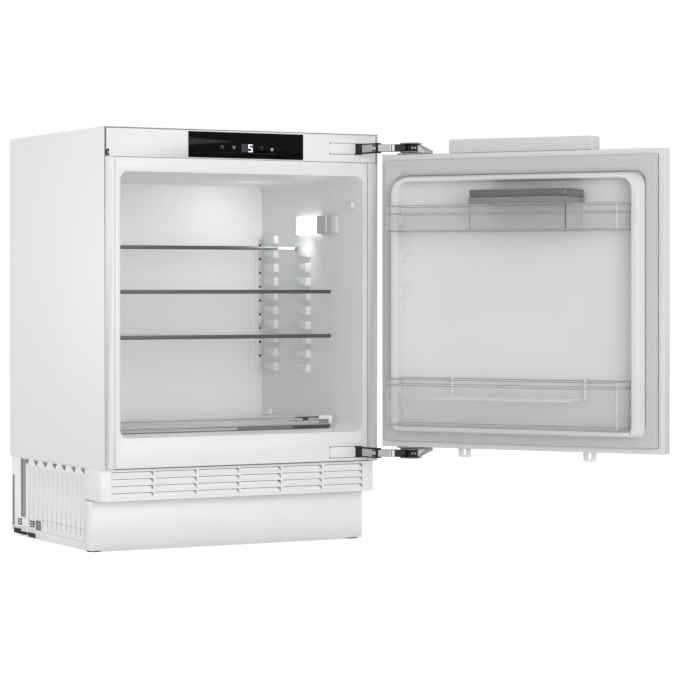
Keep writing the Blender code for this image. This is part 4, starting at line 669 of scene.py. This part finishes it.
RAIL_LEFT, RAIL_RIGHT = -0.2515, 0.2450
rail_strips("bottom_rail_upper_line", mid_painted_shade, [((RAIL_LEFT, 0.2240), (0.2466, 0.2476))])
rail_strips("bottom_rail_lines", smoke_trim, [
    ((RAIL_LEFT, RAIL_RIGHT), (0.2314, 0.2327)),
    ((RAIL_LEFT, 0.2420), (0.2244, 0.2257)),
    ((0.1500, 0.2250), (0.2414, 0.2424)),
])
# Darker strips on the right part of the rail: a painted dark reflection.
rail_strips("bottom_rail_painted_reflection", mid_painted_shade, [((0.0350, RAIL_RIGHT), (0.2257, 0.2314))], 0.0002)
rail_strips("bottom_rail_reflection_dark_end", dark_plastic_and_painted_shade, [
    ((0.1600, 0.2440), (0.2262, 0.2312)),
    ((0.1650, 0.2240), (0.2470, 0.2492)),
    ((0.1830, 0.1960), (0.2424, 0.2470)),
], 0.0006)
clips = bmesh.new()
webs = bmesh.new()
for side in (-1, 1):
    side_block(clips, side, 0.2195, 0.2505, (TRIM_FRONT - 0.0014, TRIM_FRONT + 0.0050), (0.2436, 0.2512))
    side_block(clips, side, 0.2425, 0.2504, (TRIM_FRONT - 0.0012, TRIM_FRONT + 0.0048), (0.2346, 0.2434))
    side_block(webs, side, 0.2215, 0.2424, (TRIM_FRONT - 0.0008, TRIM_FRONT + 0.0006), (0.2352, 0.2436))
finish_piece("bottom_shelf_clips", clips, TRIM_BODY, white_abs_and_painted_glint, bevel=0.0006)
finish_piece("bottom_shelf_webs", webs, TRIM_BODY, rim_grey)
edging = both_sides([
    (0.2512, 0.2530, (-0.1340, 0.1200), (0.2452, 0.2472)),
    (0.2385, 0.2475, (0.1192, 0.1212), (0.2440, 0.2524)),
])
add_block(edging, (-0.2384, 0.1192, 0.2440), (0.2384, 0.1212, 0.2464))
finish_piece("bottom_shelf_edging", edging, TRIM_BODY, white_abs_and_painted_glint, bevel=0.0004)

# A white bar at the right end of the upper shelf's trim: a painted glint.
UPPER_TRIM = "shelf_upper_front_trim"
low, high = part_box(UPPER_TRIM)
end_glint_bar = bmesh.new()
add_block(end_glint_bar, (0.1963, low.y - 0.0004, low.z + 0.0014), (0.2354, low.y + 0.0010, high.z - 0.0016))
finish_piece("upper_shelf_end_glint", end_glint_bar, body_of(UPPER_TRIM), white_abs_and_painted_glint, bevel=0.0003)

# Two grey strips on the lamp housing's inner face: painted shade.
low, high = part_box("lamp_housing")
shade = bmesh.new()
add_block(shade, (low.x - 0.0004, -0.1190, low.z + 0.0004), (low.x + 0.0010, -0.0812, high.z - 0.0004))
add_block(shade, (low.x + 0.0026, -0.1385, low.z + 0.0004), (low.x + 0.0040, -0.1206, high.z - 0.0004))
finish_piece("lamp_housing_painted_shade_strips", shade, "cabinet", lamp_painted_shade, bevel=0.0003)


# The strips in the compartment's two back corners, with dark discs painted as the shade in their row of holes and pale
# dashes painted as highlights between them

HOLE_COUNT, HOLE_TOP, HOLE_PITCH = 9, 0.6025, 0.02966
corner = bmesh.new()
hole_shade_discs = bmesh.new()
dash_glints = bmesh.new()
for side in (-1, 1):
    side_block(corner, side, 0.2380, 0.2560, (0.1795, 0.1830), (0.3300, 0.6160))
    for number in range(HOLE_COUNT):
        z = HOLE_TOP - number * HOLE_PITCH
        x = side * 0.2476
        add_round(hole_shade_discs, (x, 0.1780, z), (x, 0.1797, z), 0.0026, sides=16)
        if number % 4 != 3:
            side_block(dash_glints, side, 0.2435, 0.2468, (0.1787, 0.1797), (z - 0.0290, z - 0.0150))
finish_piece("back_corner_strips", corner, "cabinet", drawn_liner, bevel=0.0012, segments=3)
finish_piece("back_corner_hole_shades", hole_shade_discs, "cabinet", dark_plastic_and_painted_shade)
finish_piece("back_corner_dash_highlights", dash_glints, "cabinet", highlight_line_pale)


# Edges of the clear racks and of the box as lines of painted shade and painted highlight, and the grey rim under its
# lid

RACK_BEND = 0.0195                 # radius of the racks' corners


def door_edge(bm, points, radius):
    """Adds a thin straight-cornered edge in the door's own space."""
    bent_wire(bm, points, radius, 0.001, 8, False, DOOR)

def rack_loop(bm, inset, z, radius):
    """Adds a thin bead round a rack at one height, on its rounded plan."""
    a, t = (0.0575 + inset, 0.5365 - inset), (-0.1120 + inset, -0.0080 - inset)
    points = [(a[0], t[0], z), (a[1], t[0], z), (a[1], t[1], z), (a[0], t[1], z)]
    bent_wire(bm, points, radius, RACK_BEND, 8, True, DOOR)


# Beads of painted shade round each rack, and painted highlights on its upright corners.
for node, top, rim, bottom in (("upper_rack", 0.6705, 0.6550, 0.6200), ("lower_rack", 0.3340, 0.3220, 0.2440)):
    beads = bmesh.new()
    rack_loop(beads, 0.0011, top, 0.0008)
    rack_loop(beads, 0.0010, rim, 0.0007)
    rack_loop(beads, 0.0026, bottom + 0.0012, 0.0009)
    finish_piece(f"{node}_beads", beads, body_of(node), shade_line_grey)
    ribs = bmesh.new()
    for a in (0.0592, 0.5348):
        for t in (-0.0960, -0.0240):
            door_edge(ribs, [(a, t, bottom + 0.002), (a, t, top - 0.001)], 0.0008)
    finish_piece(f"{node}_ribs", ribs, body_of(node), highlight_line_pale)

# The rim is four strips, so that the box stays open under its lid.
box_low, box_high = (0.2370, -0.1040), (0.4360, -0.0120)
RIM_OUT, RIM_IN = 0.0012, 0.0002   # how far the rim reaches out of the box's faces and into them
band = bmesh.new()
for near, far in (
    ((box_low[0] - RIM_OUT, box_low[1] - RIM_OUT), (box_high[0] + RIM_OUT, box_low[1] + RIM_IN)),
    ((box_low[0] - RIM_OUT, box_high[1] - RIM_IN), (box_high[0] + RIM_OUT, box_high[1] + RIM_OUT)),
    ((box_low[0] - RIM_OUT, box_low[1] + RIM_IN), (box_low[0] + RIM_IN, box_high[1] - RIM_IN)),
    ((box_high[0] - RIM_IN, box_low[1] + RIM_IN), (box_high[0] + RIM_OUT, box_high[1] - RIM_IN)),
):
    add_block(band, (*near, 0.6722), (*far, 0.6846), DOOR)
finish_piece("box_rim_band", band, body_of("storage_box"), rim_grey, bevel=0.0003)

# Dark lines on the box's upright front edges are painted shade, and pale lines on its back corner and top edges are
# painted highlights.
EDGE_LOW, EDGE_HIGH = 0.6235, 0.6720
edges = bmesh.new()
door_edge(edges, [(0.2374, -0.1036, EDGE_LOW), (0.2374, -0.1036, EDGE_HIGH)], 0.0006)
door_edge(edges, [(0.4352, -0.1034, EDGE_LOW), (0.4352, -0.1034, EDGE_HIGH)], 0.0014)
finish_piece("box_edge_painted_shade", edges, body_of("storage_box"), dark_plastic_and_painted_shade)
edges = bmesh.new()
door_edge(edges, [(0.4356, -0.0124, EDGE_LOW), (0.4356, -0.0124, EDGE_HIGH)], 0.0007)
door_edge(edges, [(0.2374, -0.1044, 0.6712), (0.4352, -0.1044, 0.6712), (0.4364, -0.0200, 0.6712)], 0.0007)
finish_piece("box_edge_painted_highlights", edges, body_of("storage_box"), highlight_line_pale)


# The hinges: plates, notches, screws and stops on the links and on the door's brackets

def span_of(word, low, high):
    """A span of heights counted from the door's edge, at the upper or the lower hinge."""
    return (DOOR_HIGH + low, DOOR_HIGH + high) if word == "upper" else (DOOR_LOW - high, DOOR_LOW - low)


def arm_space(start, end):
    """The space of an arm that runs from one pivot to another, along its own X."""
    along = Vector(end) - Vector(start)
    return Matrix.Translation((start[0], start[1], 0.0)) @ Matrix.Rotation(math.atan2(along.y, along.x), 4, "Z")


PIVOT_A, PIVOT_B, PIVOT_C = (0.257, -0.259), (0.268840, -0.305517), (0.310118, -0.335469)
ARM_A, ARM_B = arm_space(PIVOT_A, PIVOT_B), arm_space(PIVOT_B, PIVOT_C)


def hinge_piece(name, word, node, space, material, blocks):
    """One piece on a hinge made of boxes, each with its spans along, across and up."""
    bm = bmesh.new()
    for x, y, heights in blocks:
        z = span_of(word, *heights)
        add_block(bm, (x[0], y[0], z[0]), (x[1], y[1], z[1]), space)
    slot = f"{node}_{word}"
    finish_piece(f"{name}_{word}", bm, body_of(slot), material, bevel=0.0003)


for word in ("upper", "lower"):
    hinge_piece("first_arm_plate", word, "link_a", ARM_A, hinge_nickel, [
        ((0.0085, 0.0380), (-0.0068, -0.0060), (0.0066, 0.0214)),
        ((0.0380, 0.0480), (-0.0068, -0.0061), (0.0104, 0.0168)),
    ])
    # Black notches at the first arm's end: painted shade.
    hinge_piece("first_arm_notches", word, "link_a", ARM_A, links_black_painted_shade, [
        ((0.0384, 0.0490), (-0.0069, -0.0061), (0.0172, 0.0196)),
        ((0.0384, 0.0490), (-0.0069, -0.0061), (0.0072, 0.0098)),
    ])
    hinge_piece("second_arm_plate", word, "link_b", ARM_B, hinge_nickel, [
        ((0.0010, 0.0245), (-0.0069, -0.0060), (0.0072, 0.0208)),
    ])
    hinge_piece("second_arm_collar", word, "link_b", ARM_B, white_abs_and_painted_glint, [
        ((0.0246, 0.0340), (-0.0068, -0.0060), (0.0076, 0.0206)),
    ])
    hinge_piece("second_arm_sleeve", word, "link_b", ARM_B, black_nylon, [
        ((0.0345, 0.0480), (-0.0067, -0.0060), (0.0069, 0.0211)),
        ((0.0272, 0.0286), (-0.0072, -0.0066), (0.0080, 0.0202)),
        ((0.0010, 0.0345), (-0.0070, -0.0060), (0.0066, 0.0074)),
    ])
    hinge_piece("bracket_insert", word, "door_bracket", DOOR, black_nylon, [
        ((0.0335, 0.0476), (0.0219, 0.0226), (0.0066, 0.0214)),
        ((0.0475, 0.0550), (0.0196, 0.0226), (0.0066, 0.0214)),
        ((0.0550, 0.0670), (0.0168, 0.0226), (0.0066, 0.0214)),
        ((0.0630, 0.0780), (0.0217, 0.0226), (0.0205, 0.0225)),
    ])
    # Grey strips along the bracket's edges: painted shade.
    hinge_piece("bracket_edge_strips", word, "door_bracket", DOOR, mid_painted_shade, [
        ((0.0335, 0.0580), (-0.0004, 0.0006), (0.0003, 0.0016)),
        ((0.0790, 0.0965), (-0.0004, 0.0006), (0.0003, 0.0016)),
    ])
    bracket = f"door_bracket_{word}"
    screws = bmesh.new()
    z = sum(span_of(word, 0.0130, 0.0150)) / 2
    for along in (0.0585, 0.0650):
        add_round(screws, (along, 0.0168, z), (along, 0.0168 - 0.0005, z), 0.0023, 0.0019, space=DOOR)
    finish_piece(f"bracket_screws_{word}", screws, body_of(bracket), screw_zinc)
    window = bmesh.new()
    low, high = span_of(word, 0.0038, 0.0196)
    add_block(window, (0.0690, 0.0218, low), (0.0870, 0.0227, high), DOOR)
    foot, top = (low, high) if word == "upper" else (high, low)
    slope = DOOR.to_3x3() @ Vector((abs(top - foot), 0.0, 0.0180 if word == "upper" else -0.0180))
    whole = window.verts[:] + window.edges[:] + window.faces[:]
    corner = DOOR @ Vector((0.0690, 0.022, top))
    bmesh.ops.bisect_plane(window, geom=whole, plane_co=corner, plane_no=slope, clear_outer=True)
    bmesh.ops.holes_fill(window, edges=window.edges)
    finish_piece(f"bracket_window_{word}", window, body_of(bracket), white_abs_and_painted_glint)

    # Grey lines and dots on the hinge cover's front: painted shade.
    lines = bmesh.new()
    for height in (0.0026, 0.0250):
        z = span_of(word, height - 0.0004, height + 0.0004)
        add_block(lines, (0.1950, -0.2503, z[0]), (0.2500, -0.2498, z[1]))
        middle = (z[0] + z[1]) / 2
        add_round(lines, (0.1912, -0.2498, middle), (0.1912, -0.2507, middle), 0.0013, sides=16)
    finish_piece(f"cover_outline_{word}", lines, "cabinet", mid_painted_shade)


# The back: screws and pressed beads on the panel, and the compressor's fittings

panel_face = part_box("back_panel")[1].y
screws = bmesh.new()
rows = [(x, z) for x in (-0.282, -0.094, 0.094, 0.282) for z in (0.174, 0.806)]
sides = [(x, z) for x in (-0.288, 0.288) for z in (0.332, 0.490, 0.648)]
for x, z in rows + sides:
    add_round(screws, (x, panel_face - 0.0003, z), (x, panel_face + 0.0014, z), 0.0044, 0.0034)
finish_piece("back_panel_screws", screws, "cabinet", screw_zinc, bevel=0.0003)
beads = bmesh.new()
for inset in (0.030, 0.060):
    x, low, high = 0.2967 - inset, 0.1643 + inset, 0.8187 - inset
    corners = [(-x, panel_face, low), (x, panel_face, low), (x, panel_face, high), (-x, panel_face, high)]
    bent_wire(beads, corners, 0.0011, 0.020, 10, True)
finish_piece("back_panel_beads", beads, "cabinet", galvanised)

low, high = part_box("compressor")
middle = (low + high) / 2
PIPE_BEND = 0.012
pipes = bmesh.new()
bent_wire(pipes, [
    (middle.x - 0.030, middle.y + 0.030, high.z - 0.030),
    (middle.x - 0.030, high.y + 0.004, high.z - 0.030),
    (middle.x - 0.105, high.y + 0.004, high.z - 0.030),
    (middle.x - 0.105, high.y + 0.004, 0.0300),
    (middle.x - 0.140, 0.1300, 0.0300),
], 0.0030, PIPE_BEND)
bent_wire(pipes, [
    (middle.x + 0.030, middle.y + 0.030, high.z - 0.040),
    (middle.x + 0.030, high.y + 0.005, high.z - 0.040),
    (middle.x + 0.084, high.y + 0.005, high.z - 0.040),
    (middle.x + 0.084, high.y + 0.005, 0.1560),
], 0.0038, PIPE_BEND)
finish_piece("compressor_pipes", pipes, "cabinet", pipe_copper)
relay = bmesh.new()
for near, far in (
    ((-0.0240, -0.0260, 0.0280), (0.0140, 0.0300, 0.0820)),
    ((-0.0256, -0.0180, 0.0360), (-0.0230, 0.0220, 0.0740)),
):
    root = Vector((low.x, middle.y, low.z))
    add_block(relay, root + Vector(near), root + Vector(far))
finish_piece("compressor_relay_cover", relay, "cabinet", relay_black, bevel=0.0030, segments=3)
low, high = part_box("mains_inlet")
middle = (low + high) / 2
prongs = bmesh.new()
for across in (-0.0070, 0.0, 0.0070):
    x = middle.x + across
    add_block(prongs, (x - 0.0010, low.y + 0.0010, middle.z - 0.0025), (x + 0.0010, high.y - 0.0030, middle.z + 0.0025))
finish_piece("mains_inlet_pins", prongs, "cabinet", pin_brass, bevel=0.0003)


# Light, floor and camera

def softbox(name, place, aim, wide, tall, power):
    lamp = bpy.data.lights.new(name, "AREA")
    lamp.shape = "RECTANGLE"
    lamp.size, lamp.size_y = wide, tall
    lamp.energy = power
    holder = bpy.data.objects.new(name, lamp)
    bpy.context.scene.collection.objects.link(holder)
    holder.location = place
    holder.rotation_euler = (Vector(aim) - Vector(place)).to_track_quat("-Z", "Y").to_euler()


def larger(tree, one, other):
    """The larger of two values."""
    return add_node(tree, "ShaderNodeMath", {"operation": "MAXIMUM"}, {0: one, 1: other}).outputs[0]


softbox("front_softbox", (-0.4, -4.6, 0.9), (0.0, 0.0, 0.45), 2.4, 1.8, 62.0)
softbox("side_softbox", (-3.2, 3.0, 1.2), (-0.3, 0.0, 0.40), 2.0, 1.8, 38.0)
# The compartment's own light shines from its lens.
softbox("compartment_light", (0.2475, -0.034, 0.641), (-0.05, 0.18, 0.42), 0.085, 0.034, 0.30)

floor_paint = bpy.data.materials.new("pale_studio_floor")
floor_paint.use_nodes = True
floor_tree = floor_paint.node_tree
floor_tree.nodes.clear()
floor_place = add_node(floor_tree, "ShaderNodeTexCoord").outputs["Object"]
floor_grain = add_node(
    floor_tree, "ShaderNodeTexNoise", {"Scale": 40.0, "Detail": 3.0}, {"Vector": floor_place}).outputs["Fac"]
floor_bump = add_node(
    floor_tree, "ShaderNodeBump", {"Strength": 0.1, "Distance": 0.0005}, {"Height": floor_grain}).outputs["Normal"]
floor_look = {"Base Color": linear("#efefef"), "Roughness": 0.9}
floor_body = add_node(floor_tree, "ShaderNodeBsdfPrincipled", floor_look, {"Normal": floor_bump})
# To the camera, also through clear plastic, the floor glows up to the white of the background.
ray = add_node(floor_tree, "ShaderNodeLightPath")
seen = larger(floor_tree, ray.outputs["Is Camera Ray"], ray.outputs["Is Transmission Ray"])
lift = add_node(floor_tree, "ShaderNodeMath", {"operation": "MULTIPLY", 1: 0.62}, {0: seen}).outputs[0]
floor_glow = add_node(floor_tree, "ShaderNodeEmission", None, {"Strength": lift})
layers = {0: floor_body.outputs["BSDF"], 1: floor_glow.outputs["Emission"]}
both = add_node(floor_tree, "ShaderNodeAddShader", None, layers)
add_node(floor_tree, "ShaderNodeOutputMaterial", None, {"Surface": both.outputs["Shader"]})

floor_mesh = bmesh.new()
bmesh.ops.create_circle(floor_mesh, cap_ends=True, segments=96, radius=9.0)
sheet = bpy.data.meshes.new("studio_floor")
floor_mesh.to_mesh(sheet)
floor_mesh.free()
sheet.materials.append(floor_paint)
floor = bpy.data.objects.new("studio_floor", sheet)
bpy.context.scene.collection.objects.link(floor)

world = bpy.data.worlds.new("white_studio")
bpy.context.scene.world = world
world.use_nodes = True
sky = world.node_tree
sky.nodes.clear()
ray = add_node(sky, "ShaderNodeLightPath")
seen = larger(sky, ray.outputs["Is Camera Ray"], ray.outputs["Is Glossy Ray"])
seen = larger(sky, seen, ray.outputs["Is Transmission Ray"])
level = add_node(sky, "ShaderNodeMapRange", {"To Min": 0.64, "To Max": 1.0}, {"Value": seen}).outputs["Result"]
glow = add_node(sky, "ShaderNodeBackground", {"Color": (1.0, 1.0, 1.0, 1.0)}, {"Strength": level})
add_node(sky, "ShaderNodeOutputWorld", None, {"Surface": glow.outputs["Background"]})

camera = bpy.data.cameras.new("photo_camera")
camera.sensor_width = 36.0
camera.lens = 135.32
camera.shift_y = -0.0786
camera.clip_end = 60.0
viewpoint = bpy.data.objects.new("photo_camera", camera)
viewpoint.location = (-2.2142, -4.75707, 0.51396)
viewpoint.rotation_euler = (math.radians(90), 0.0, math.radians(-28.3))
bpy.context.scene.collection.objects.link(viewpoint)
bpy.context.scene.camera = viewpoint

bpy.context.scene.view_settings.view_transform = "Standard"
# The door shows more than eight clear walls behind each other.
bpy.context.scene.cycles.transparent_max_bounces = 32
